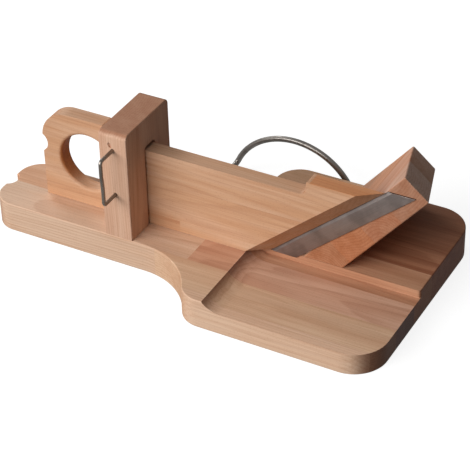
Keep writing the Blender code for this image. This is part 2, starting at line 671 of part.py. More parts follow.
def make_opener():
    """The bent wire on the arch that catches a bottle cap, with a small step half way up."""
    low_y = NECK_FRONT - OPENER_LOW_REACH
    high_y = NECK_FRONT - OPENER_HIGH_REACH
    end_y = NECK_FRONT + OPENER_INSERT
    corners = [(end_y, OPENER_LOW_Z), (low_y, OPENER_LOW_Z), (low_y, OPENER_KINK_LOW_Z),
               (high_y, OPENER_KINK_HIGH_Z), (high_y, OPENER_HIGH_Z), (end_y, OPENER_HIGH_Z)]
    corners = [Vector((ARCH_CENTRE_X, y, z)) for y, z in corners]
    return wire("cap_opener", bend_route(corners, OPENER_BEND_RADIUS), OPENER_WIRE_RADIUS,
                WIRE_STEEL)


def build():
    """Make every piece of the guillotine."""
    clear_scene()
    screw_holes = make_screws()
    opener_cutters = opener_holes()
    make_board(screw_holes, hoop_holes())
    make_arch(screw_holes, opener_cutters)
    make_slider()
    make_blade()
    make_blade_rest(screw_holes)
    make_hoop()
    make_opener()


build()
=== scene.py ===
"""Looks of a beech sausage guillotine: a board with a tray, a slider in an arch, and a blade.

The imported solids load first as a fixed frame. Finer pieces stand for them in the same place, in
metres, with +Z up. The origin is the middle of the board's underside, X runs towards the tray
end and Y to the back.
"""

import logging
from collections.abc import Callable, Sequence
from dataclasses import dataclass, field
from enum import Enum
from math import asin, ceil, cos, pi, radians, sin, sqrt, tan

import bmesh
import bpy
from mathutils import Matrix, Vector


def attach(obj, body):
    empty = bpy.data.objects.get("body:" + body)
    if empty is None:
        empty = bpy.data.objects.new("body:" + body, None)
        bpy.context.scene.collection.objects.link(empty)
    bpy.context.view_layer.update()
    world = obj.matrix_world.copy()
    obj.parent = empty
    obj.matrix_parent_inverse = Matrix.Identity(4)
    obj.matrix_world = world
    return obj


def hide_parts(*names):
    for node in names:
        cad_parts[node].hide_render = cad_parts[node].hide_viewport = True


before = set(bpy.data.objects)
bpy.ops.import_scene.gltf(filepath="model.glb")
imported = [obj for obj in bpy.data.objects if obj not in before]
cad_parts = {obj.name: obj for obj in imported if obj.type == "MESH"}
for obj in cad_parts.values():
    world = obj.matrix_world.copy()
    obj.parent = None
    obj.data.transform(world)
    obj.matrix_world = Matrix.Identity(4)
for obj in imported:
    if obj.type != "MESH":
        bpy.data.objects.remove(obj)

Point = tuple[float, float, float]
Pair = tuple[float, float]
Colour = tuple[float, float, float, float]
Place = Sequence[float]
Solid = bmesh.types.BMesh
Edge = bmesh.types.BMEdge
Socket = bpy.types.NodeSocket
Source = Socket | float | Colour | Point
Feeds = dict[str | int, Source]

# How finely curves are cut, facets round a hole, and how sharp an edge is an arris
ARC_STEP = radians(5)
ROD_STEP = 0.0015
HOLE_SIDES = 32
ARRIS = radians(60)

# Points this near merge, and points this near a plane lie on it
WELD = 2e-6
NEAR = 2e-5

# Clearances, and how far a cutter reaches past what it cuts
SEAT_GAP = 0.0003
SEAM = 0.00004
OVERSHOOT = 0.0100

# What several pieces share: the board's top and the slope of the blade and of the slider's end
BOARD_TOP = 0.0260
CUT = radians(40.8)

MILLIMETRES = 1000.0

log = logging.getLogger("guillotine")


def paint(red: int, green: int, blue: int) -> Colour:
    """Turn a colour as a screen shows it, 0 to 255, into linear values with full alpha."""
    shares = [value / 255 for value in (red, green, blue)]
    linear = [s / 12.92 if s <= 0.04045 else ((s + 0.055) / 1.055) ** 2.4 for s in shares]
    return (*linear, 1.0)


class Grain(Enum):
    """Where a piece's grain runs: the turn that lays it along the pattern's X, and its way."""

    ALONG_X = (0.0, 0.0, 0.0), (1.0, 0.0, 0.0)
    ALONG_Y = (0.0, 0.0, -pi / 2), (0.0, 1.0, 0.0)
    ALONG_Z = (0.0, pi / 2, 0.0), (0.0, 0.0, 1.0)

    def __init__(self, turn: Point, way: Point) -> None:
        """Keep the pattern's turn and the grain's direction on the piece."""
        self.turn, self.way = turn, Vector(way)


class Beech(Enum):
    """Tones of the strips: the light and the warm colour that each wanders between."""

    PALE = (224, 191, 164), (220, 182, 152)
    CREAM = (230, 196, 168), (226, 188, 158)
    STRAW = (226, 190, 158), (220, 180, 147)
    WHEAT = (238, 196, 160), (230, 184, 146)
    SAND = (228, 182, 148), (220, 170, 134)
    PINK = (220, 176, 149), (212, 164, 136)
    ROSE = (214, 166, 137), (206, 154, 124)
    GREY = (214, 174, 144), (206, 160, 130)
    TAN = (200, 150, 118), (188, 136, 104)
    # UMBER is darker wood partly, and partly painted shade, where it lies behind and right of the
    # blade rest
    UMBER = (186, 130, 98), (166, 110, 80)
    BISCUIT = (221, 182, 155), (213, 170, 142)
    HONEY = (211, 169, 137), (205, 158, 122)
    AMBER = (206, 160, 124), (198, 146, 108)
    OAT = (216, 177, 145), (210, 165, 128)
    CLAY = (214, 162, 128), (202, 146, 110)
    COPPER = (222, 162, 124), (212, 148, 108)
    RUSSET = (218, 168, 138), (208, 150, 118)
    FAWN = (214, 172, 148), (204, 156, 128)

    def __init__(self, light: tuple[int, int, int], warm: tuple[int, int, int]) -> None:
        """Turn both colours into linear ones."""
        self.light, self.warm = paint(*light), paint(*warm)


class Graph:
    """The nodes of one material or world, with short ways to add and link them."""

    def __init__(self, owner: bpy.types.Material | bpy.types.World,
                 shader: str = "Principled BSDF") -> None:
        """Start from the nodes that a new material or world has.

        Args:
            owner: The material or world.
            shader: The name of its shader's node.
        """
        owner.use_nodes = True
        self.owner, self.tree = owner, owner.node_tree
        self.shader = self.tree.nodes[shader]

    def add(self, kind: str, feeds: Feeds | None = None, **settings: str) -> bpy.types.Node:
        """Add a node.

        Args:
            kind: The node's type.
            feeds: What goes into its inputs.
            settings: Properties to set on it first.

        Returns:
            The new node.
        """
        node = self.tree.nodes.new(kind)
        for key, value in settings.items():
            setattr(node, key, value)
        self.feed(node, feeds or {})
        return node

    def feed(self, node: bpy.types.Node, feeds: Feeds) -> None:
        """Link or set some of a node's inputs.

        Args:
            node: The node.
            feeds: An output socket or a plain value for each input, by its name or number.
        """
        for key, value in feeds.items():
            if isinstance(value, Socket):
                self.tree.links.new(value, node.inputs[key])
            else:
                node.inputs[key].default_value = value

    def math(self, operation: str, first: Source, second: Source = 0.0) -> Socket:
        """What a Math node makes of two numbers."""
        return self.add("ShaderNodeMath", {0: first, 1: second}, operation=operation).outputs[0]

    def vector(self, operation: str, first: Source, second: Source) -> Socket:
        """The vector that a Vector Math node makes of two."""
        feeds = {0: first, 1: second}
        return self.add("ShaderNodeVectorMath", feeds, operation=operation).outputs[0]

    def length(self, vector: Source) -> Socket:
        """Length of a vector."""
        node = self.add("ShaderNodeVectorMath", {0: vector}, operation="LENGTH")
        return node.outputs["Value"]

    def mix(self, share: Source, first: Source, second: Source, blend: str = "MIX") -> Socket:
        """Mix two colours, with the second one's share and the blend type."""
        feeds = {0: share, 6: first, 7: second}
        return self.add("ShaderNodeMix", feeds, data_type="RGBA", blend_type=blend).outputs[2]

    def remap(self, value: Source, low: float, high: float, start: float = 0.0,
              end: float = 1.0) -> Socket:
        """Stretch the range from low to high smoothly onto start to end, held at both ends."""
        feeds = dict(enumerate((value, low, high, start, end)))
        return self.add("ShaderNodeMapRange", feeds, interpolation_type="SMOOTHSTEP").outputs[0]

    def noise(self, place: Source, stretch: Point, detail: float = 2.0,
              roughness: float = 0.5) -> bpy.types.Node:
        """Add noise that is stretched along the axes.

        Args:
            place: The coordinates.
            stretch: How fine the noise is along each axis.
            detail: How many finer layers it has.
            roughness: How strong the finer layers are.

        Returns:
            The noise node.
        """
        return self.add("ShaderNodeTexNoise", {
            "Vector": self.vector("MULTIPLY", place, stretch), "Scale": 1.0, "Detail": detail,
            "Roughness": roughness})

    def place(self, turn: Point = (0.0, 0.0, 0.0)) -> Socket:
        """Object coordinates in millimetres, turned about the three axes."""
        source = self.add("ShaderNodeTexCoord").outputs["Object"]
        return self.add("ShaderNodeMapping", {"Vector": source, "Rotation": turn,
                                              "Scale": (MILLIMETRES,) * 3}).outputs[0]

    def bump(self, height: Source, distance: float, strength: float) -> None:
        """Raise the surface by a share, the strength, of a pattern so many metres deep."""
        node = self.add("ShaderNodeBump", {"Distance": distance, "Strength": strength,
                                           "Height": height})
        self.feed(self.shader, {"Normal": node.outputs[0]})


@dataclass(frozen=True)
class Block:
    """A length of wood within a strip, from a butt joint onwards; some carry painted shade."""

    tone: Beech
    start: float = -1.0
    shift: Point = (0.0, 0.0, 0.0)
    ends: Colour = paint(202, 176, 158)


@dataclass(frozen=True)
class BeechFinish:
    """Oiled beech: growth rings about a pith, fine fibres, short ray flecks, darker end grain."""

    name: str
    grain: Grain
    blocks: tuple[Block, ...]
    pith: Pair = (0.0, -60.0)
    lean: Pair = (0.0, 0.02)
    ring_width: float = 2.4
    ring_depth: float = 0.14
    wander: float = 5.0
    heart: Pair | None = None
    streak_depth: float = 0.16
    fibre_depth: float = 0.26
    fleck_depth: float = 0.34
    end_depth: float = 0.85
    roughness: float = 0.56
    relief: float = 0.00018

    def material(self) -> bpy.types.Material:
        """Build the material.

        Returns:
            The material, which reads Object coordinates in millimetres and the piece's own
            end_grain attribute.
        """
        graph = Graph(bpy.data.materials.new(self.name))
        place, light, warm, end_tint = self._blocks(graph)
        rings, flecks = self._rings(graph, place), self._flecks(graph, place)
        fibre = graph.noise(place, (0.016, 1.3, 1.3), 4.0, 0.62).outputs[0]
        drift = graph.noise(place, (0.007, 0.10, 0.10), 3.0, 0.55).outputs[0]
        streak = graph.noise(place, (0.010, 0.42, 0.42)).outputs[0]
        ends = graph.add("ShaderNodeAttribute", attribute_name="end_grain").outputs["Fac"]
        stains = [
            (graph.math("MULTIPLY", rings, self.ring_depth), paint(190, 148, 122)),
            (graph.remap(streak, 0.44, 0.72, 0.0, self.streak_depth), paint(206, 168, 142)),
            (graph.remap(fibre, 0.40, 0.70, 0.0, self.fibre_depth), paint(204, 178, 158)),
            (graph.math("MULTIPLY", flecks, self.fleck_depth), paint(182, 136, 106)),
            (self._heart(graph), paint(255, 226, 198)),
            (graph.math("MULTIPLY", graph.remap(ends, 0.30, 0.86), self.end_depth), end_tint)]
        colour = graph.mix(graph.remap(drift, 0.36, 0.64), light, warm)
        for share, stain in stains:
            colour = graph.mix(share, colour, stain, "MULTIPLY")
        gloss = graph.remap(fibre, 0.3, 0.7, self.roughness - 0.06, self.roughness + 0.08)
        graph.feed(graph.shader, {"Base Color": colour, "Roughness": gloss,
                                  "Specular IOR Level": 0.30})
        height = graph.math("ADD", graph.math("MULTIPLY", fibre, 0.7),
                            graph.math("MULTIPLY", rings, -0.3))
        graph.bump(height, self.relief, 0.5)
        return graph.owner

    def _blocks(self, graph: Graph) -> tuple[Socket, Source, Source, Source]:
        """Change the tone and move the pattern at each butt joint.

        Args:
            graph: The material's nodes.

        Returns:
            The pattern's coordinates, its light and warm colours and the tint of cut ends, some
            with painted shade.
        """
        grain = graph.place(self.grain.turn)
        along = graph.add("ShaderNodeSeparateXYZ", {0: grain}).outputs[0]
        first = self.blocks[0]
        place = graph.vector("ADD", grain, first.shift)
        light, warm, ends = first.tone.light, first.tone.warm, first.ends
        for block in self.blocks[1:]:
            past = graph.math("GREATER_THAN", along, block.start * MILLIMETRES)
            light = graph.mix(past, light, block.tone.light)
            warm = graph.mix(past, warm, block.tone.warm)
            ends = graph.mix(past, ends, block.ends)
            jump = graph.add("ShaderNodeMix", {0: past, 5: block.shift}, data_type="VECTOR")
            place = graph.vector("ADD", place, jump.outputs[1])
        return place, light, warm, ends

    def _heart(self, graph: Graph) -> Source:
        """Where the darker heartwood shows, if any: past an X and above a Z, in metres."""
        if self.heart is None:
            return 0.0
        axes = graph.add("ShaderNodeSeparateXYZ", {0: graph.place()}).outputs
        start, foot = (level * MILLIMETRES for level in self.heart)
        return graph.math("MULTIPLY", graph.remap(axes[0], start, start + 0.6),
                          graph.remap(axes[2], foot, foot + 0.4))

    def _rings(self, graph: Graph, place: Socket) -> Socket:
        """Growth rings about a slightly leaning, wandering pith.

        Args:
            graph: The material's nodes.
            place: The pattern's coordinates.

        Returns:
            How deep in the dark part of a ring each point is, 0 to 1.
        """
        sway = graph.noise(place, (0.006, 0.022, 0.022)).outputs["Color"]
        sway = graph.vector("SUBTRACT", sway, (0.5, 0.5, 0.5))
        sway = graph.vector("MULTIPLY", sway, (0.0, self.wander, self.wander))
        leaning = graph.add("ShaderNodeMapping", {
            "Vector": graph.vector("ADD", place, sway), "Rotation": (0.0, *self.lean),
            "Location": (0.0, -self.pith[0], -self.pith[1])}).outputs[0]
        across = graph.vector("MULTIPLY", leaning, (0.0, 1.0, 1.0))
        uneven = graph.noise(place, (0.002, 0.05, 0.05), 1.0).outputs[0]
        count = graph.math("ADD", graph.math("DIVIDE", graph.length(across), self.ring_width),
                           graph.math("MULTIPLY", uneven, 2.5))
        phase = graph.math("FRACT", count)
        return graph.math("MULTIPLY", graph.remap(phase, 0.30, 0.90),
                          graph.remap(phase, 0.93, 1.0, 1.0, 0.0))

    def _flecks(self, graph: Graph, place: Socket) -> Socket:
        """Short dark dashes of the rays, as beech shows along its grain.

        Args:
            graph: The material's nodes.
            place: The pattern's coordinates.

        Returns:
            1 on a fleck and 0 off it.
        """
        stretched = graph.vector("MULTIPLY", place, (0.42, 1.7, 1.7))
        cells = graph.add("ShaderNodeTexVoronoi", {"Vector": stretched, "Scale": 1.0}).outputs
        pick = graph.add("ShaderNodeSeparateColor", {0: cells["Color"]}).outputs[0]
        return graph.math("MULTIPLY", graph.remap(cells["Distance"], 0.10, 0.34, 1.0, 0.0),
                          graph.math("GREATER_THAN", pick, 0.45))


@dataclass(frozen=True)
class SteelFinish:
    """Steel with fine scratches along one direction and uneven gloss."""

    name: str
    colour: Colour
    roughness: float
    turn: Point = (0.0, 0.0, 0.0)
    scratch: Point = (0.05, 4.0, 4.0)
    depth: float = 0.00002

    def material(self) -> bpy.types.Material:
        """Build the material.

        Returns:
            The material, which reads Object coordinates in millimetres.
        """
        graph = Graph(bpy.data.materials.new(self.name))
        place = graph.place(self.turn)
        lines = graph.noise(place, self.scratch, 4.0, 0.7).outputs[0]
        cloud = graph.noise(place, (0.06, 0.06, 0.06), 3.0).outputs[0]
        dark = (*(part * 0.72 for part in self.colour[:3]), 1.0)
        colour = graph.mix(graph.remap(cloud, 0.35, 0.65), self.colour, dark)
        colour = graph.mix(graph.remap(lines, 0.45, 0.7, 0.0, 0.35), colour,
                           paint(205, 200, 196), "MULTIPLY")
        gloss = graph.remap(lines, 0.3, 0.7, self.roughness - 0.07, self.roughness + 0.10)
        graph.feed(graph.shader, {"Base Color": colour, "Metallic": 1.0, "Roughness": gloss})
        graph.bump(lines, self.depth, 0.4)
        return graph.owner


Finish = BeechFinish | SteelFinish


def stack_finishes(name: str, grain: Grain, rows: Sequence[tuple]) -> list[BeechFinish]:
    """Number the finishes of a glued-up piece, whose rows hold their other fields in order."""
    return [BeechFinish(f"{name}_{number}", grain, *row) for number, row in enumerate(rows, 1)]


def facing(place: Place, way: Place) -> Matrix:
    """The matrix that takes the origin to a place and +Z to a direction."""
    turn = Vector(way).to_track_quat("Z", "Y").to_matrix().to_4x4()
    return Matrix.Translation(Vector(place)) @ turn


def close(mesh: Solid) -> None:
    """Fill a mesh's open rims."""
    rims = [edge for edge in mesh.edges if edge.is_boundary]
    bmesh.ops.holes_fill(mesh, edges=rims, sides=0)


def mend(mesh: Solid) -> Solid:
    """Merge a solid's points that meet and turn its faces outwards.

    Args:
        mesh: The solid.

    Returns:
        The same solid.
    """
    bmesh.ops.remove_doubles(mesh, verts=mesh.verts, dist=WELD)
    bmesh.ops.recalc_face_normals(mesh, faces=mesh.faces)
    return mesh


class Pen:
    """Draws a closed flat outline with extruded and spun points, then sweeps it into a solid."""

    def __init__(self, start: Place, axis: Place) -> None:
        """Put the pen down.

        Args:
            start: The first point.
            axis: The direction that arcs turn about.
        """
        self.mesh = bmesh.new()
        self.axis = Vector(axis)
        self.first = self.tip = self.mesh.verts.new(start)

    def line(self, *ends: Place) -> None:
        """Draw straight lines from point to point."""
        for end in ends:
            self.tip = bmesh.ops.extrude_vert_indiv(self.mesh, verts=[self.tip])["verts"][0]
            bmesh.ops.translate(self.mesh, verts=[self.tip], vec=Vector(end) - self.tip.co)

    def arc(self, centre: Place, turn: float) -> None:
        """Draw an arc on from the last point.

        Args:
            centre: The arc's centre.
            turn: The angle, positive about the pen's axis.
        """
        steps = max(3, ceil(abs(turn) / ARC_STEP))
        spun = bmesh.ops.spin(self.mesh, geom=[self.tip], cent=centre, axis=self.axis,
                              dvec=(0, 0, 0), angle=turn, steps=steps, use_merge=False,
                              use_duplicate=False)
        self.tip = spun["geom_last"][0]

    def sweep(self, reach: Place) -> Solid:
        """Close the outline and extrude it into a solid.

        Args:
            reach: How far and in which direction.

        Returns:
            The solid.
        """
        self.line(self.first.co)
        bmesh.ops.remove_doubles(self.mesh, verts=self.mesh.verts, dist=WELD)
        bmesh.ops.edgeloop_fill(self.mesh, edges=self.mesh.edges)
        grown = bmesh.ops.extrude_face_region(self.mesh, geom=self.mesh.faces[:])
        moved = [part for part in grown["geom"] if isinstance(part, bmesh.types.BMVert)]
        bmesh.ops.translate(self.mesh, verts=moved, vec=reach)
        bmesh.ops.recalc_face_normals(self.mesh, faces=self.mesh.faces)
        return self.mesh


class Rod:
    """A round rod that grows from a disc by straight runs and bends."""

    def __init__(self, start: Place, way: Place, radius: float, sides: int = 20) -> None:
        """Start with the rod's end disc.

        Args:
            start: Middle of the end.
            way: The direction that the rod sets off in.
            radius: The rod's radius.
            sides: Facets round the rod.
        """
        self.mesh = bmesh.new()
        self.place, self.way = Vector(start), Vector(way).normalized()
        bmesh.ops.create_circle(self.mesh, cap_ends=False, segments=sides, radius=radius,
                                matrix=facing(self.place, self.way))
        self.ring = self.mesh.verts[:] + self.mesh.edges[:]

    def run(self, end: Place) -> None:
        """Grow straight to a point, unless the rod is there."""
        step = Vector(end) - self.place
        if step.length < WELD / 20:
            return
        edges = [part for part in self.ring if isinstance(part, Edge)]
        grown = bmesh.ops.extrude_edge_only(self.mesh, edges=edges)["geom"]
        verts = [part for part in grown if isinstance(part, bmesh.types.BMVert)]
        self.ring = verts + [part for part in grown if isinstance(part, Edge)
                             and all(vert in verts for vert in part.verts)]
        bmesh.ops.translate(self.mesh, verts=verts, vec=step)
        self.place += step

    def bend(self, centre: Place, axis: Place, turn: float) -> None:
        """Grow round a bend.

        Args:
            centre: The bend's centre.
            axis: The axis that it turns about.
            turn: The angle about that axis.
        """
        arm = self.place - Vector(centre)
        steps = max(4, ceil(abs(turn) / ARC_STEP), ceil(arm.length * abs(turn) / ROD_STEP))
        spun = bmesh.ops.spin(self.mesh, geom=self.ring, cent=centre, axis=axis, dvec=(0, 0, 0),
                              angle=turn, steps=steps, use_merge=False, use_duplicate=False)
        self.ring = spun["geom_last"]
        spin = Matrix.Rotation(turn, 3, Vector(axis))
        self.place, self.way = Vector(centre) + spin @ arm, spin @ self.way

    def corner(self, corner: Place, onward: Place, radius: float) -> None:
        """Run up to a corner and bend round it towards the next point.

        Args:
            corner: Where the two straight runs would meet.
            onward: A point on the next run.
            radius: The bend's radius.
        """
        after = (Vector(onward) - Vector(corner)).normalized()
        turn = self.way.angle(after)
        axis = self.way.cross(after).normalized()
        start = Vector(corner) - self.way * radius * tan(turn / 2)
        self.run(start)
        self.bend(start + axis.cross(self.way) * radius, axis, turn)

    def solid(self) -> Solid:
        """Close both ends and hand over the finished rod."""
        close(self.mesh)
        return mend(self.mesh)


def put(name: str, data: bpy.types.ID, matrix: Matrix | None = None) -> bpy.types.Object:
    """Add an object to the scene.

    Args:
        name: Its name.
        data: Its mesh, lamp or camera.
        matrix: Its place and turn, or None for the origin.

    Returns:
        The object.
    """
    thing = bpy.data.objects.new(name, data)
    if matrix is not None:
        thing.matrix_world = matrix
    bpy.context.scene.collection.objects.link(thing)
    return thing


def place_mesh(name: str, mesh: Solid) -> bpy.types.Object:
    """Put a bmesh, which is freed, into the scene as an object at the origin."""
    data = bpy.data.meshes.new(name)
    mesh.to_mesh(data)
    mesh.free()
    return put(name, data)


def settle(piece: bpy.types.Object) -> None:
    """Apply a piece's modifiers to its mesh."""
    bpy.context.view_layer.update()
    graph = bpy.context.evaluated_depsgraph_get()
    done = bpy.data.meshes.new_from_object(piece.evaluated_get(graph), depsgraph=graph,
                                           preserve_all_data_layers=True)
    old = piece.data
    piece.modifiers.clear()
    piece.data = done
    bpy.data.meshes.remove(old)
    done.name = piece.name


def carve(solid: Solid, cutters: Sequence[Solid]) -> Solid:
    """Take cutters out of a solid with exact Booleans.

    Args:
        solid: The solid, which is freed.
        cutters: The cutters, which are freed.

    Returns:
        What is left of the solid.
    """
    piece = place_mesh("carved", solid)
    tools = [place_mesh(f"cutter_{number}", cutter) for number, cutter in enumerate(cutters)]
    for tool in tools:
        modifier = piece.modifiers.new(tool.name, "BOOLEAN")
        modifier.operation = "DIFFERENCE"
        modifier.solver = "EXACT"
        modifier.object = tool
    settle(piece)
    left = bmesh.new()
    left.from_mesh(piece.data)
    for item in [piece, *tools]:
        data = item.data
        bpy.data.objects.remove(item, do_unlink=True)
        bpy.data.meshes.remove(data)
    return left


def slice_off(mesh: Solid, point: Place, outward: Place) -> None:
    """Cut a solid with a plane and close the cut.

    Args:
        mesh: The solid.
        point: A point on the plane.
        outward: The side that goes.
    """
    bmesh.ops.bisect_plane(mesh, geom=mesh.verts[:] + mesh.edges[:] + mesh.faces[:], dist=1e-7,
                           plane_co=point, plane_no=outward, clear_outer=True)
    close(mesh)


def ease(mesh: Solid, edges: Sequence[Edge], radius: float, segments: int = 3) -> None:
    """Round some edges of a solid.

    Args:
        mesh: The solid.
        edges: The edges.
        radius: The rounding's radius.
        segments: Facets across it.
    """
    bmesh.ops.bevel(mesh, geom=list(edges), offset=radius, offset_type="OFFSET",
                    segments=segments, profile=0.5, affect="EDGES", clamp_overlap=True,
                    material=-1)


def turned(profile: Sequence[Pair], foot: Place, axis: Place, sides: int) -> Solid:
    """Spin a half section about an axis into a closed solid.

    Args:
        profile: Radius and distance along the axis of each point.
        foot: Where the axis starts.
        axis: Its direction.
        sides: Facets round it.

    Returns:
        The solid.
    """
    mesh = bmesh.new()
    verts = [mesh.verts.new((radius, 0, along)) for radius, along in profile]
    edges = [mesh.edges.new(pair) for pair in zip(verts, verts[1:])]
    bmesh.ops.spin(mesh, geom=verts + edges, cent=(0, 0, 0), axis=(0, 0, 1), dvec=(0, 0, 0),
                   angle=2 * pi, steps=sides, use_merge=True, use_duplicate=False)
    bmesh.ops.transform(mesh, matrix=facing(foot, axis), verts=mesh.verts)
    return mend(mesh)


def hole(mouth: Place, axis: Place, radius: float, depth: float) -> Solid:
    """A cutter for a drilled hole that starts a little outside its mouth."""
    profile = [(0, -OVERSHOOT), (radius, -OVERSHOOT), (radius, depth), (0, depth)]
    return turned(profile, mouth, axis, HOLE_SIDES)


def between(edge: Edge, test: Callable[[Vector], bool]) -> bool:
    """Whether both ends of an edge pass a test."""
    return all(test(vert.co) for vert in edge.verts)


def span(edge: Edge, axis: int) -> float:
    """How far an edge reaches along an axis, 0 to 2."""
    return abs(edge.verts[0].co[axis] - edge.verts[1].co[axis])


@dataclass
class Dresser:
    """Gives finished pieces their shading, material, body and place in the record."""

    pieces: int = 0
    sharp: float = radians(38)
    normal_weight: int = 80
    materials: dict[Finish, bpy.types.Material] = field(default_factory=dict)

    def dress(self, name: str, mesh: Solid, finish: Finish, node: str,
              body: str = "base") -> None:
        """Finish a piece and let it stand for a CAD node.

        Args:
            name: The piece's name.
            mesh: Its solid, which is freed.
            finish: Its finish, whose material is built once.
            node: The CAD node that it replaces.
            body: The body that it rides on.
        """
        piece = place_mesh(name, mesh)
        if finish not in self.materials:
            self.materials[finish] = finish.material()
        piece.data.materials.append(self.materials[finish])
        piece.data.shade_smooth()
        piece.data.set_sharp_from_angle(angle=self.sharp)
        weights = piece.modifiers.new("even_shading", "WEIGHTED_NORMAL")
        weights.keep_sharp = True
        weights.weight = self.normal_weight
        settle(piece)
        if isinstance(finish, BeechFinish):
            self._mark_ends(piece.data, finish.grain.way)
        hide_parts(node)
        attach(piece, body)
        self.pieces += 1
        log.info("%s: %d faces, rides on %s", piece.name, len(piece.data.polygons), body)

    def _mark_ends(self, mesh: bpy.types.Mesh, way: Vector) -> None:
        """Note at each corner how squarely its surface cuts the grain."""
        marks = mesh.attributes.new("end_grain", "FLOAT", "CORNER")
        marks.data.foreach_set("value", [abs(way.dot(normal.vector))
                                         for normal in mesh.corner_normals])


@dataclass(frozen=True)
class Stack:
    """The strips that a solid is glued up from, in their order along a direction."""

    name: str
    slot: str
    nodes: Sequence[str]
    finishes: Sequence[BeechFinish]
    ends: Sequence[float]
    way: Place
    start: Place = (0.0, 0.0, 0.0)
    body: str = "base"

    def build(self, dresser: Dresser, solid: Solid) -> None:
        """Split the solid at its joints and finish each strip.

        Args:
            dresser: What finishes the pieces.
            solid: The whole solid, which is freed.
        """
        start, way = Vector(self.start), Vector(self.way)
        rows = zip(self.nodes, self.finishes, self.ends, self.ends[1:])
        for number, (node, finish, low, high) in enumerate(rows, 1):
            strip = solid.copy()
            slice_off(strip, start + way * (low + SEAM / 2), -way)
            slice_off(strip, start + way * (high - SEAM / 2), way)
            dresser.dress(f"{self.name}_{number}", strip, finish, node, self.body)
        solid.free()


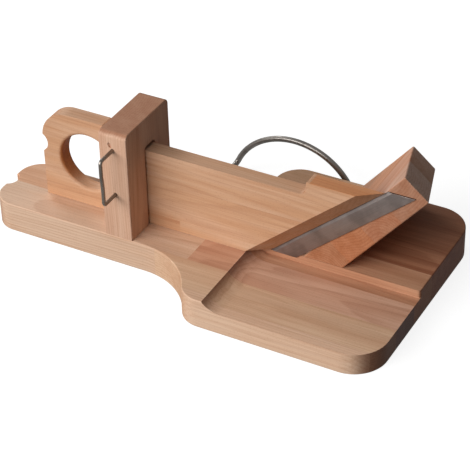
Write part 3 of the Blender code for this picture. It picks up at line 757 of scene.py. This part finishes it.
@dataclass
class Board:
    """The glued-up board with its neck, thumb notch, S shoulders and tray."""

    length: float = 0.3660
    width: float = 0.1980
    thickness: float = BOARD_TOP
    edge_round: float = 0.0012
    wide_length: float = 0.1695
    neck_width: float = 0.0650
    neck_centre: float = -0.02275
    neck_corner: float = 0.0200
    front_curve: float = 0.0590
    inner_curve: float = 0.0380
    shoulder: float = 0.0220
    right_corner: float = 0.0280
    notch_width: float = 0.0160
    notch_depth: float = 0.0055
    joints: tuple[float, ...] = (-0.0892, -0.0562, -0.0232, 0.0098, 0.0428, 0.0758)
    tray_left: float = 0.0402
    tray_wall: float = -0.0125
    tray_depth: float = 0.0070
    tray_cove: float = 0.0220
    tray_foot: float = 0.0015
    tray_rim: float = 0.0010
    wall_end: float = 0.0024
    tone_lead: float = 0.0005
    rim_angle: float = radians(50)

    def build(self, dresser: Dresser, cutters: Sequence[Solid]) -> None:
        """Make every strip of the board.

        Args:
            dresser: What finishes the pieces.
            cutters: Holes for the screws and the hoop, and the blade's notch.
        """
        solid = carve(self._blank(), [self._tray(), self._wall_corner(), *cutters])
        self._ease_tray(solid)
        ends = [-self.width / 2 - OVERSHOOT, *self.joints, self.width / 2 + OVERSHOOT]
        nodes = [f"board_stave_{number}" for number in range(1, len(ends))]
        Stack("board_strip", "beech_board", nodes, self._finishes(), ends,
              (0, 1, 0)).build(dresser, solid)

    def _finishes(self) -> list[BeechFinish]:
        """Finish of each strip, front to back."""
        tray = self.tray_left - self.tone_lead
        bare, cut = paint(240, 226, 212), paint(138, 98, 74)
        return stack_finishes("beech_board", Grain.ALONG_X, [
            ((Block(Beech.CREAM, ends=bare), Block(Beech.CREAM, tray, ends=cut)),
             (10, 90), (0.01, 0.0)),
            ((Block(Beech.STRAW, shift=(40, 0, 0), ends=bare),
              Block(Beech.STRAW, tray, ends=cut)), (-72, 160), (0.0, 0.03), 2.2, 0.18),
            # Strip 3's dark red end tints, past x = 4 mm and in the tray, are partly darker end
            # grain and partly painted shade on the cove's top back under the slider's end
            ((Block(Beech.PALE, shift=(90, 0, 0)),
              Block(Beech.ROSE, 0.0040, (55, 6, 3), paint(118, 66, 44)),
              Block(Beech.PINK, tray, ends=paint(92, 44, 28))),
             (-40, -60), (0.03, 0.02), 2.6, 0.24, 7.0),
            ((Block(Beech.SAND), Block(Beech.TAN, -0.0590, (20, 0, 0))),
             (4, -90), (0.02, 0.01)),
            # Strips 5 to 7 turn UMBER behind and right of the blade rest: darker wood partly, and
            # partly painted shade of the rest
            ((Block(Beech.UMBER, shift=(130, 0, 0)),), (27, 110), (0.0, 0.05), 3.0, 0.3, 9.0),
            ((Block(Beech.GREY), Block(Beech.UMBER, 0.0415, (70, 0, 5))),
             (60, -70), (0.0, 0.03), 2.8, 0.26, 8.0),
            ((Block(Beech.WHEAT, shift=(15, 0, 0)), Block(Beech.UMBER, 0.1250, (35, 2, 0))),
             (95, 60), (0.02, 0.0))])

    def _shoulder(self, edge: float, rim: float, hollow: float) -> tuple[Vector, Vector, float]:
        """Work out the S between the neck and the wide part.

        Args:
            edge: Y of the neck's side.
            rim: Y of the wide part's side.
            hollow: Radius of its hollow curve.

        Returns:
            Centres of its hollow and round curves, and the angle that each turns. Where there
            is room for both curves, each turns a right angle.
        """
        way = 1 if rim > edge else -1
        total = hollow + self.shoulder
        drop = max(0.0, total - abs(rim - edge))
        run = sqrt(total**2 - drop**2)
        corner = Vector((self.length / 2 - self.wide_length + self.shoulder,
                         rim - way * self.shoulder, 0))
        inner = Vector((corner.x - run, edge + way * hollow, 0))
        return inner, corner, asin(run / total)

    def _blank(self) -> Solid:
        """Draw the outline, extrude it and round its rims."""
        left, right = -self.length / 2, self.length / 2
        front, back = -self.width / 2, self.width / 2
        neck_front = self.neck_centre - self.neck_width / 2
        neck_back = self.neck_centre + self.neck_width / 2
        corner, big = self.neck_corner, self.right_corner
        half = self.notch_width / 2
        notch = (half**2 + self.notch_depth**2) / (2 * self.notch_depth)
        pen = Pen((left, neck_front + corner, 0), (0, 0, 1))
        pen.arc((left + corner, neck_front + corner, 0), pi / 2)
        inner, outer, swing = self._shoulder(neck_front, front, self.front_curve)
        pen.line((inner.x, neck_front, 0))
        pen.arc(inner, -swing)
        pen.arc(outer, swing)
        pen.line((right - big, front, 0))
        pen.arc((right - big, front + big, 0), pi / 2)
        pen.line((right, back - big, 0))
        pen.arc((right - big, back - big, 0), pi / 2)
        inner, outer, swing = self._shoulder(neck_back, back, self.inner_curve)
        pen.line((outer.x, back, 0))
        pen.arc(outer, swing)
        pen.line(inner + Vector((sin(swing), -cos(swing), 0)) * self.inner_curve)
        pen.arc(inner, -swing)
        pen.line((left + corner, neck_back, 0))
        pen.arc((left + corner, neck_back - corner, 0), pi / 2)
        pen.line((left, self.neck_centre + half, 0))
        pen.arc((left + self.notch_depth - notch, self.neck_centre, 0), -2 * asin(half / notch))
        mesh = pen.sweep((0, 0, self.thickness))
        ease(mesh, [edge for edge in mesh.edges if span(edge, 2) < self.thickness / 2],
             self.edge_round)
        return mesh

    def _tray(self) -> Solid:
        """The hollow that the tray is milled with, open at the front and right."""
        floor = self.thickness - self.tray_depth
        drop = self.tray_cove - self.tray_depth
        foot = self.tray_left + sqrt(self.tray_cove**2 - drop**2)
        top, right = floor + self.tray_cove, self.length / 2 + OVERSHOOT
        reach = self.tray_wall + self.width / 2 + OVERSHOOT
        start = self.tray_wall - reach
        pen = Pen((foot - self.tray_cove, start, top), (0, -1, 0))
        pen.arc((foot, start, top), pi / 2)
        pen.line((right, start, floor), (right, start, top))
        mesh = pen.sweep((0, reach, 0))
        rims = [edge for edge in mesh.edges
                if between(edge, lambda co: abs(co.y - self.tray_wall) < NEAR
                           and co.z < top - OVERSHOOT / 2)]
        ease(mesh, rims, self.tray_foot)
        return mesh

    def _wall_corner(self) -> Solid:
        """A cutter that rounds the right end of the tray's wall."""
        left, right = self.length / 2 - self.wall_end, self.length / 2 + OVERSHOOT
        wall, inside = self.tray_wall, self.tray_wall + self.wall_end
        floor = self.thickness - self.tray_depth + 2 * SEAM
        pen = Pen((left, wall, floor), (0, 0, 1))
        pen.arc((left, inside, floor), pi / 2)
        pen.line((right, inside, floor), (right, wall - OVERSHOOT, floor),
                 (left, wall - OVERSHOOT, floor))
        return pen.sweep((0, 0, self.tray_depth + OVERSHOOT))

    def _ease_tray(self, mesh: Solid) -> None:
        """Round the rim that the tray's cut left along the board's outside."""
        floor = self.thickness - self.tray_depth
        edges = [edge for edge in mesh.edges
                 if len(edge.link_faces) == 2 and edge.calc_face_angle(0) > self.rim_angle
                 and between(edge, lambda co: abs(co.z - floor) < NEAR
                             and co.y < self.tray_wall - self.tray_foot)]
        ease(mesh, edges, self.tray_rim)


@dataclass
class Arch:
    """The block that straddles the slider, with its slot."""

    left: float = -0.0714
    right: float = -0.0466
    front: float = -0.05525
    back: float = 0.00975
    foot: float = BOARD_TOP + SEAT_GAP
    top: float = 0.1235
    top_round: float = 0.0045
    edge_round: float = 0.0010
    slot_front: float = -0.0287
    slot_back: float = -0.0123
    slot_top: float = 0.0985
    slot_corner: float = 0.0035
    dent_place: Pair = (-0.0615, 0.1124)
    dent_size: Point = (0.0014, 0.0018, 0.0024)
    dent_turn: float = radians(-25)

    def build(self, dresser: Dresser, cutters: Sequence[Solid]) -> None:
        """Make the arch.

        Args:
            dresser: What finishes the piece.
            cutters: Holes for its screws and for the cap opener.
        """
        solid = carve(self._block(), [self._slot(), self._dent(), *cutters])
        mouths = [edge for edge in solid.edges
                  if edge.calc_face_angle(0) > ARRIS
                  and any(between(edge, lambda co, x=x: abs(co.x - x) < NEAR)
                          for x in (self.left, self.right))
                  and between(edge, lambda co: self.slot_front - NEAR < co.y
                              < self.slot_back + NEAR and co.z < self.slot_top + NEAR)]
        ease(solid, mouths, self.edge_round / 2, 2)
        finish = BeechFinish("beech_arch", Grain.ALONG_Z, (Block(Beech.BISCUIT),), (-20, 140),
                             (0.015, 0.0), 1.9, 0.16)
        dresser.dress("arch_block", solid, finish, "arch")

    def _block(self) -> Solid:
        """The block, well rounded at its top's front and back."""
        low = Vector((self.left, self.front, self.foot))
        high = Vector((self.right, self.back, self.top))
        middle = (low + high) / 2
        mesh = bmesh.new()
        bmesh.ops.create_cube(mesh, size=1.0,
                              matrix=Matrix.LocRotScale(middle, None, high - low))
        across = [edge for edge in mesh.edges if between(edge, lambda co: co.z > middle.z)
                  and span(edge, 0) > OVERSHOOT]
        ease(mesh, across, self.top_round, 8)
        rims = [edge for edge in mesh.edges if edge.calc_face_angle() > ARRIS
                and max(vert.co.z for vert in edge.verts) > middle.z]
        ease(mesh, rims, self.edge_round)
        return mesh

    def _slot(self) -> Solid:
        """The slot that the slider runs in, open at the foot."""
        front, back, low, high = self.slot_front, self.slot_back, 0.0, self.slot_top
        start, corner = self.left - OVERSHOOT, self.slot_corner
        pen = Pen((start, front, low), (1, 0, 0))
        pen.line((start, back, low), (start, back, high - corner))
        pen.arc((start, back - corner, high - corner), pi / 2)
        pen.line((start, front + corner, high))
        pen.arc((start, front + corner, high - corner), pi / 2)
        return pen.sweep((self.right - self.left + 2 * OVERSHOOT, 0, 0))

    def _dent(self) -> Solid:
        """A small knock in the front face, above the cap opener."""
        x, z = self.dent_place
        turn = Matrix.Rotation(self.dent_turn, 3, "Y")
        mesh = bmesh.new()
        bmesh.ops.create_uvsphere(mesh, u_segments=24, v_segments=16, radius=1.0,
                                  matrix=Matrix.LocRotScale(Vector((x, self.front, z)), turn,
                                                            Vector(self.dent_size)))
        return mesh


@dataclass
class Slider:
    """The sliding board: a grip with a finger hole, a lower middle and a raised, skewed end."""

    left: float = -0.1441
    front: float = -0.0271
    back: float = -0.0139
    foot: float = BOARD_TOP + SEAT_GAP
    top: float = 0.0955
    tip: float = 0.0394
    edge_round: float = 0.0018
    skew: float = radians(53.7)
    grip_top: float = 0.1075
    end_x: float = 0.0930
    end_hollow: float = 0.0060
    grip_corner: float = 0.0255
    step_x: float = -0.0849
    step_corner: float = 0.0015
    hole_centre: Pair = (-0.1025, 0.0670)
    hole_radius: float = 0.0252
    hole_round: float = 0.0030
    hole_back_round: float = 0.0010
    notch_width: float = 0.0160
    notch_depth: float = 0.0045
    notch_z: float = 0.0755
    heart_inset: Pair = (0.0028, 0.0005)
    joints: Pair = (0.0366, 0.0696)
    nodes: tuple[str, ...] = ("slider_lower_stave", "slider_middle_stave", "slider_upper_stave")

    def build(self, dresser: Dresser) -> None:
        """Make the slider's strips, lowest first."""
        ends = [self.foot - OVERSHOOT, *self.joints, self.grip_top + OVERSHOOT]
        Stack("slider_strip", "beech_slider", self.nodes, self._finishes(), ends, (0, 0, 1),
              body="slider").build(dresser, carve(self._blank(), [self._finger_hole()]))

    def _finishes(self) -> list[BeechFinish]:
        """Finish of each strip, lowest first, with heartwood on the raised end's top."""
        heart = (self.end_x + self.heart_inset[0], self.grip_top - self.heart_inset[1])
        return stack_finishes("beech_slider", Grain.ALONG_X, [
            ((Block(Beech.AMBER), Block(Beech.OAT, -0.0186, (60, 4, 2), paint(196, 164, 134))),
             (60, 30), (0.0, 0.01)),
            ((Block(Beech.HONEY, shift=(200, 0, 0), ends=paint(228, 180, 120)),),
             (110, 48), (0.02, 0.03), 2.4, 0.12, 7.0),
            ((Block(Beech.HONEY, shift=(20, 0, 40), ends=paint(232, 184, 124)),),
             (-120, 84), (0.0, 0.04), 2.6, 0.14, 5.0, heart)])

    def _blank(self) -> Solid:
        """Draw the outline, extrude it, round its rims and slant its end."""
        half = self.notch_width / 2
        notch = (half**2 + self.notch_depth**2) / (2 * self.notch_depth)
        corner, small = self.grip_corner, self.step_corner
        lift = max(0.0, self.notch_z + half - (self.grip_top - corner))
        start = asin(min(1.0, lift / corner))
        deep = self.back - self.front
        right = (self.tip + (self.grip_top - BOARD_TOP) / tan(CUT) + deep * tan(self.skew)
                 + OVERSHOOT)
        end, bend, y = self.end_x, self.end_hollow, self.front
        centre = (self.left + corner, y, self.grip_top - corner)
        pen = Pen((self.left, y, self.foot), (0, -1, 0))
        pen.line((self.left, y, self.notch_z - half))
        pen.arc((self.left + self.notch_depth - notch, y, self.notch_z), 2 * asin(half / notch))
        pen.line((centre[0] - corner * cos(start), y, centre[2] + corner * sin(start)))
        pen.arc(centre, start - pi / 2)
        pen.line((self.step_x - small, y, self.grip_top))
        pen.arc((self.step_x - small, y, self.grip_top - small), -pi / 2)
        pen.line((self.step_x, y, self.top), (end - bend, y, self.top))
        pen.arc((end - bend, y, self.top + bend), pi / 2)
        pen.line((end, y, self.grip_top - small))
        pen.arc((end + small, y, self.grip_top - small), -pi / 2)
        pen.line((right, y, self.grip_top), (right, y, self.foot))
        mesh = pen.sweep((0, deep, 0))
        rims = [edge for edge in mesh.edges if span(edge, 1) < deep / 2
                and max(vert.co.z for vert in edge.verts) > self.foot + SEAT_GAP
                and min(vert.co.x for vert in edge.verts) < right - OVERSHOOT]
        ease(mesh, rims, self.edge_round, 4)
        rise = Vector((cos(CUT), 0, sin(CUT)))
        across = Vector((sin(self.skew), cos(self.skew), 0))
        slice_off(mesh, (self.tip, self.front, BOARD_TOP), across.cross(rise))
        return mesh

    def _finger_hole(self) -> Solid:
        """A cutter that flares at both faces, so that the hole's rims come out rounded."""
        radius, deep = self.hole_radius, self.back - self.front
        front, back = self.hole_round, self.hole_back_round
        swings = [step * pi / 16 for step in range(9)]
        profile = [(0, -OVERSHOOT), (radius + front, -OVERSHOOT)]
        profile += [(radius + front * (1 - sin(swing)), front * (1 - cos(swing)))
                    for swing in swings]
        profile += [(radius + back * (1 - sin(swing)), deep - back * (1 - cos(swing)))
                    for swing in reversed(swings)]
        profile += [(radius + back, deep + OVERSHOOT), (0, deep + OVERSHOOT)]
        x, z = self.hole_centre
        return turned(profile, (x, self.front, z), (0, 1, 0), 96)


@dataclass
class BladeRest:
    """The leaning plank that carries the blade, with its diagonal top and shallow rebate."""

    foot_x: float = 0.0837
    front: float = -0.0125
    back: float = 0.0990
    lean: float = radians(50.0)
    thickness: float = 0.0260
    long_side: float = 0.1293
    short_side: float = 0.0660
    edge_round: float = 0.0012
    joints: tuple[float, ...] = (0.031, 0.064, 0.097)
    rebate: float = 0.0008

    def build(self, dresser: Dresser, blade: "Blade", cutters: Sequence[Solid]) -> None:
        """Make the plank's strips, lowest first.

        Args:
            dresser: What finishes the pieces.
            blade: The blade that lies in its rebate.
            cutters: Holes for its screws.
        """
        rebate = blade.bed(BOARD_TOP - OVERSHOOT, blade.top + SEAT_GAP, self.front - OVERSHOOT,
                           OVERSHOOT + self.rebate)
        solid = carve(self._plank(), [rebate, *cutters])
        ends = [-3 * self.thickness, *self.joints, self.long_side + self.thickness]
        nodes = [f"blade_rest_stave_{number}" for number in range(1, len(ends))]
        Stack("rest_strip", "beech_rest", nodes, self._finishes(), ends, self._up(),
              (self.foot_x, 0, BOARD_TOP)).build(dresser, solid)

    def _finishes(self) -> list[BeechFinish]:
        """Finish of each strip, lowest first."""
        piths = {Beech.CLAY: (-96.0, 8.0), Beech.COPPER: (-100.0, 96.0),
                 Beech.RUSSET: (-150.0, 60.0), Beech.FAWN: (-140.0, 130.0)}
        return stack_finishes("beech_rest", Grain.ALONG_Y, [
            ((Block(tone, ends=paint(208, 188, 172)),), pith, (0.01, 0.02), 2.3, 0.22)
            for tone, pith in piths.items()])

    def _up(self) -> Vector:
        """Direction up the leaning faces."""
        return Vector((cos(self.lean), 0, sin(self.lean)))

    def _plank(self) -> Solid:
        """The plank with a level foot and a diagonal top."""
        up, deep = self._up(), self.back - self.front
        through = Vector((sin(self.lean), 0, -cos(self.lean)))
        foot = Vector((self.foot_x, self.front, BOARD_TOP))
        low, high = foot - up * 2 * self.thickness, foot + up * (self.long_side + self.thickness)
        pen = Pen(low, (0, -1, 0))
        pen.line(high, high + through * self.thickness, low + through * self.thickness)
        mesh = pen.sweep((0, deep, 0))
        diagonal = up * (self.short_side - self.long_side) + Vector((0, deep, 0))
        slice_off(mesh, foot + up * self.long_side, through.cross(diagonal))
        slice_off(mesh, (0, 0, BOARD_TOP + SEAT_GAP), (0, 0, -1))
        rims = [edge for edge in mesh.edges
                if max(vert.co.z for vert in edge.verts) > BOARD_TOP + 2 * SEAT_GAP]
        ease(mesh, rims, self.edge_round)
        return mesh


@dataclass
class Blade:
    """The ground steel bar along the blade rest's front end."""

    foot_x: float = 0.0580
    foot: float = 0.0236
    top: float = 0.1085
    width: float = 0.0147
    front: float = -0.0135
    back: float = -0.0120
    ground: float = 0.0026
    land: float = 0.0002
    edge_round: float = 0.00012

    def bed(self, low: float, high: float, front: float, deep: float) -> Solid:
        """A slanted cutter round the blade, a seat's gap wider on both sides.

        Args:
            low: Z of its foot.
            high: Z of its top.
            front: Y of its front.
            deep: How far it goes back.

        Returns:
            The cutter.
        """
        left = self.foot_x - SEAT_GAP / sin(CUT)
        right = self.foot_x + (self.width + SEAT_GAP) / sin(CUT)
        fall, rise = ((level - BOARD_TOP) / tan(CUT) for level in (low, high))
        pen = Pen((left + fall, front, low), (0, -1, 0))
        pen.line((right + fall, front, low), (right + rise, front, high),
                 (left + rise, front, high))
        return pen.sweep((0, deep, 0))

    def notch(self) -> Solid:
        """A cutter for the notch in the tray's wall that the blade's foot hangs in."""
        front = self.front - OVERSHOOT
        return self.bed(self.foot - SEAT_GAP, BOARD_TOP + OVERSHOOT, front,
                        self.back + SEAT_GAP - front)

    def build(self, dresser: Dresser) -> None:
        """Make the blade."""
        along, across = Vector((cos(CUT), 0, sin(CUT))), Vector((sin(CUT), 0, -cos(CUT)))
        start = Vector((self.foot_x, 0, BOARD_TOP)) - along * 2 * self.width
        section = [(0.0, self.back), (0.0, self.back - self.land), (self.ground, self.front),
                   (self.width, self.front), (self.width, self.back)]
        places = [start + across * wide + Vector((0, y, 0)) for wide, y in section]
        pen = Pen(places[0], along)
        pen.line(*places[1:])
        mesh = pen.sweep(along * ((self.top - self.foot) / sin(CUT) + 4 * self.width))
        slice_off(mesh, (0, 0, self.top), (0, 0, 1))
        slice_off(mesh, (0, 0, self.foot), (0, 0, -1))
        blunt = [edge for edge in mesh.edges
                 if between(edge, lambda co: abs(co.y - self.front) < NEAR)
                 and abs(edge.calc_face_angle(0)) > ARRIS]
        ease(mesh, blunt, self.edge_round, 2)
        finish = SteelFinish("ground_blade_steel", paint(158, 148, 144), 0.36, (0.0, CUT, 0.0),
                             (0.03, 5.0, 5.0))
        dresser.dress("blade_bar", mesh, finish, "blade")


@dataclass
class Hoop:
    """The steel rod ring behind the board, with both ends turned forward into the wood."""

    rod: float = 0.0025
    radius: float = 0.0591
    centre: Pair = (0.0161, -0.0134)
    end_z: float = 0.0080
    bend: float = 0.0060
    insert: float = 0.0200
    board_back: float = 0.0990
    neck_back: float = 0.00975

    def feet(self) -> tuple[float, float]:
        """X of the ring's right and left feet."""
        spread = sqrt(self.radius**2 - (self.end_z - self.centre[1]) ** 2)
        return self.centre[0] + spread, self.centre[0] - spread

    def holes(self) -> list[Solid]:
        """Cutters for the holes that the ends sit in."""
        return [hole((x, mouth, self.end_z), (0, -1, 0), self.rod + SEAT_GAP,
                     self.insert + SEAT_GAP)
                for x, mouth in zip(self.feet(), (self.board_back, self.neck_back))]

    def build(self, dresser: Dresser) -> None:
        """Make the hoop."""
        y, z = self.board_back + SEAT_GAP + self.bend, self.end_z
        right, left = self.feet()
        lift = asin((z + self.bend + SEAT_GAP - self.centre[1]) / self.radius)
        middle = Vector((self.centre[0], y, self.centre[1]))
        first = middle + Vector((cos(lift), 0, sin(lift))) * self.radius
        last = middle + Vector((-cos(lift), 0, sin(lift))) * self.radius
        rod = Rod((right, self.board_back - self.insert, z), (0, 1, 0), self.rod, 28)
        rod.corner((right, y, z), first, self.bend)
        rod.run(first)
        rod.bend(middle, (0, -1, 0), pi - 2 * lift)
        rod.way = (Vector((left, y, z)) - last).normalized()
        rod.corner((left, y, z), (left, self.board_back, z), self.bend)
        rod.run((left, self.neck_back - self.insert, z))
        finish = SteelFinish("hoop_rod_steel", paint(148, 142, 136), 0.36,
                             scratch=(0.12, 0.12, 0.12), depth=0.000001)
        dresser.dress("hoop_rod", rod.solid(), finish, "hoop")


@dataclass
class CapOpener:
    """The bent wire on the arch's front that catches the rim of a bottle cap."""

    wire: float = 0.0015
    x: float = -0.0590
    face: float = -0.05525
    low_z: float = 0.0673
    high_z: float = 0.1081
    low_reach: float = 0.0170
    high_reach: float = 0.0180
    kink: Pair = (0.0840, 0.0940)
    bend: float = 0.0028
    insert: float = 0.0120

    def holes(self) -> list[Solid]:
        """Cutters for the two holes in the arch's front."""
        return [hole((self.x, self.face, z), (0, 1, 0), self.wire + SEAT_GAP / 2,
                     self.insert + SEAT_GAP) for z in (self.low_z, self.high_z)]

    def build(self, dresser: Dresser) -> None:
        """Make the wire."""
        low, high = self.face - self.low_reach, self.face - self.high_reach
        end = self.face + self.insert
        route = [(self.x, low, self.low_z), (self.x, low, self.kink[0]),
                 (self.x, high, self.kink[1]), (self.x, high, self.high_z),
                 (self.x, end, self.high_z)]
        rod = Rod((self.x, end, self.low_z), (0, -1, 0), self.wire)
        for corner, onward in zip(route, route[1:]):
            rod.corner(corner, onward, self.bend)
        rod.run(route[-1])
        finish = SteelFinish("opener_wire_steel", paint(140, 132, 124), 0.30,
                             scratch=(1.2, 1.2, 1.2), depth=0.000002)
        dresser.dress("opener_wire", rod.solid(), finish, "cap_opener")


@dataclass
class Screws:
    """Countersunk wood screws under the board, with crossed slots in their heads."""

    length: float = 0.0450
    shank: float = 0.0020
    head: float = 0.0040
    head_height: float = 0.0025
    head_round: float = 0.0002
    sunk: float = 0.0005
    point: float = 0.0060
    slot_mouth: float = 0.0028
    slot_tip: float = 0.0006
    slot_depth: float = 0.0034
    slot_flatness: float = 0.26
    slot_lift: float = 0.0002
    places: dict[str, Pair] = field(default_factory=lambda: {
        "arch_screw_front": (-0.0590, -0.041975), "arch_screw_back": (-0.0590, -0.001275),
        "blade_rest_screw_front": (0.1082, 0.02675), "blade_rest_screw_back": (0.1082, 0.05975)})

    def holes(self, names: Sequence[str]) -> list[Solid]:
        """Cutters for the holes of the screws of these names."""
        head, shank = self.head + SEAT_GAP, self.shank + SEAT_GAP
        tip = self.length + SEAT_GAP
        profile = [(0, -OVERSHOOT), (head, -OVERSHOOT), (head, 0),
                   (shank, self.head_height + SEAT_GAP), (shank, tip - self.point), (0, tip)]
        return [turned(profile, (*self.places[name], self.sunk), (0, 0, 1), HOLE_SIDES)
                for name in names]

    def build(self, dresser: Dresser) -> None:
        """Make the four screws."""
        finish = SteelFinish("screw_zinc", paint(196, 194, 186), 0.34, scratch=(0.8, 0.8, 0.8))
        profile = [(0, 0), (self.head - self.head_round, 0), (self.head, self.head_round),
                   (self.shank, self.head_height), (self.shank, self.length - self.point),
                   (0, self.length)]
        for name, place in self.places.items():
            foot = (*place, self.sunk)
            solid = carve(turned(profile, foot, (0, 0, 1), 40), self._cross(foot))
            dresser.dress(f"{name}_shown", solid, finish, name)

    def _cross(self, foot: Point) -> list[Solid]:
        """Cutters for the two tapered slots of a crossed recess in a head at this foot."""
        slots = []
        for turn in (0.0, pi / 2):
            slots.append(bmesh.new())
            place = Matrix.LocRotScale(Vector(foot) + Vector((0, 0, self.slot_lift)),
                                       Matrix.Rotation(turn, 3, "Z"),
                                       Vector((1.0, self.slot_flatness, 1.0)))
            bmesh.ops.create_cone(slots[-1], cap_ends=True, segments=4, radius1=self.slot_mouth,
                                  radius2=self.slot_tip, depth=self.slot_depth,
                                  matrix=place @ Matrix.Rotation(pi / 4, 4, "Z"))
        return slots


@dataclass
class Studio:
    """A pale floor, soft light from the front left, and the camera."""

    azimuth: float = radians(29.29)
    elevation: float = radians(35.64)
    roll: float = radians(-1.58)
    camera_place: Point = (0.6067, -1.0531, 0.8827)
    focal_pixels: float = 1851.99
    frame_pixels: int = 470
    sensor: float = 36.0
    key_way: Point = (-0.36, -0.80, 0.485)
    key_size: Pair = (2.2, 1.2)
    key_power: float = 50.0
    fill_way: Point = (-0.70, 0.42, 0.55)
    fill_size: Pair = (0.7, 0.7)
    fill_power: float = 10.0
    lamp_distance: float = 2.0
    lamp_aim: float = 0.05
    ambient: float = 0.08
    mirrored: float = 0.40
    floor_half: float = 6.0
    floor_glow: float = 0.86
    floor_dull: Colour = (0.12, 0.12, 0.12, 1.0)
    floor_seen: Colour = (0.35, 0.35, 0.35, 1.0)

    def build(self) -> None:
        """Make the floor, the lights, the world and the camera."""
        self._floor()
        self._lamp("key_light", self.key_way, self.key_size, self.key_power)
        self._lamp("fill_light", self.fill_way, self.fill_size, self.fill_power)
        self._world()
        self._camera()
        bpy.context.scene.view_settings.view_transform = "Standard"

    def _floor(self) -> None:
        """A floor that looks white to the camera, keeps the shadow and throws little light."""
        mesh = bmesh.new()
        bmesh.ops.create_grid(mesh, x_segments=1, y_segments=1, size=self.floor_half)
        floor = place_mesh("floor", mesh)
        graph = Graph(bpy.data.materials.new("floor_white"))
        graph.tree.nodes.remove(graph.shader)
        rays = graph.add("ShaderNodeLightPath").outputs
        seen = graph.math("MAXIMUM", rays["Is Camera Ray"], rays["Is Transmission Ray"])
        mirrored = graph.math("MULTIPLY", rays["Is Glossy Ray"], self.mirrored)
        strength = graph.math("ADD", graph.math("MULTIPLY", seen, self.floor_glow), mirrored)
        dull = graph.add("ShaderNodeBsdfDiffuse",
                         {"Color": graph.mix(seen, self.floor_dull, self.floor_seen)})
        glow = graph.add("ShaderNodeEmission", {"Strength": strength})
        both = graph.add("ShaderNodeAddShader", {0: dull.outputs[0], 1: glow.outputs[0]})
        graph.feed(graph.tree.nodes["Material Output"], {"Surface": both.outputs[0]})
        floor.data.materials.append(graph.owner)

    def _lamp(self, name: str, way: Point, size: Pair, power: float) -> None:
        """Put up a lamp that faces the object.

        Args:
            name: The lamp's name.
            way: The direction from the object to the lamp.
            size: Its width and height.
            power: Its power in watts.
        """
        data = bpy.data.lights.new(name, "AREA")
        data.shape = "RECTANGLE"
        data.size, data.size_y = size
        data.energy = power
        out = Vector(way).normalized()
        put(name, data, facing(out * self.lamp_distance + Vector((0, 0, self.lamp_aim)), out))

    def _world(self) -> None:
        """A white backdrop, with dim light from all round."""
        world = bpy.data.worlds.new("studio")
        bpy.context.scene.world = world
        graph = Graph(world, "Background")
        rays = graph.add("ShaderNodeLightPath").outputs
        level: Source = self.ambient
        for ray, strength in (("Is Glossy Ray", self.mirrored), ("Is Camera Ray", 1.0),
                              ("Is Transmission Ray", 1.0)):
            level = graph.add("ShaderNodeMix", {0: rays[ray], 2: level,
                                                3: strength}).outputs[0]
        graph.feed(graph.shader, {"Color": (1.0, 1.0, 1.0, 1.0), "Strength": level})

    def _camera(self) -> None:
        """The camera at the photograph's viewing angle."""
        data = bpy.data.cameras.new("camera")
        data.sensor_width = self.sensor
        data.lens = self.focal_pixels / self.frame_pixels * self.sensor
        bpy.context.scene.camera = put("camera", data, (
            Matrix.Translation(self.camera_place) @ Matrix.Rotation(self.azimuth, 4, "Z")
            @ Matrix.Rotation(pi / 2 - self.elevation, 4, "X")
            @ Matrix.Rotation(self.roll, 4, "Z")))


def main() -> None:
    """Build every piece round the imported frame."""
    logging.basicConfig(level=logging.INFO, format="%(name)s: %(message)s")
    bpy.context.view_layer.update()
    Studio().build()
    dresser = Dresser()
    blade, hoop, opener, screws = Blade(), Hoop(), CapOpener(), Screws()
    arch_screws = ("arch_screw_front", "arch_screw_back")
    rest_screws = ("blade_rest_screw_front", "blade_rest_screw_back")
    Board().build(dresser, [*screws.holes(arch_screws + rest_screws), *hoop.holes(),
                            blade.notch()])
    Arch().build(dresser, [*screws.holes(arch_screws), *opener.holes()])
    Slider().build(dresser)
    BladeRest().build(dresser, blade, screws.holes(rest_screws))
    for piece in (blade, hoop, opener, screws):
        piece.build(dresser)
    log.info("%d pieces", dresser.pieces)


if __name__ == "__main__":
    main()
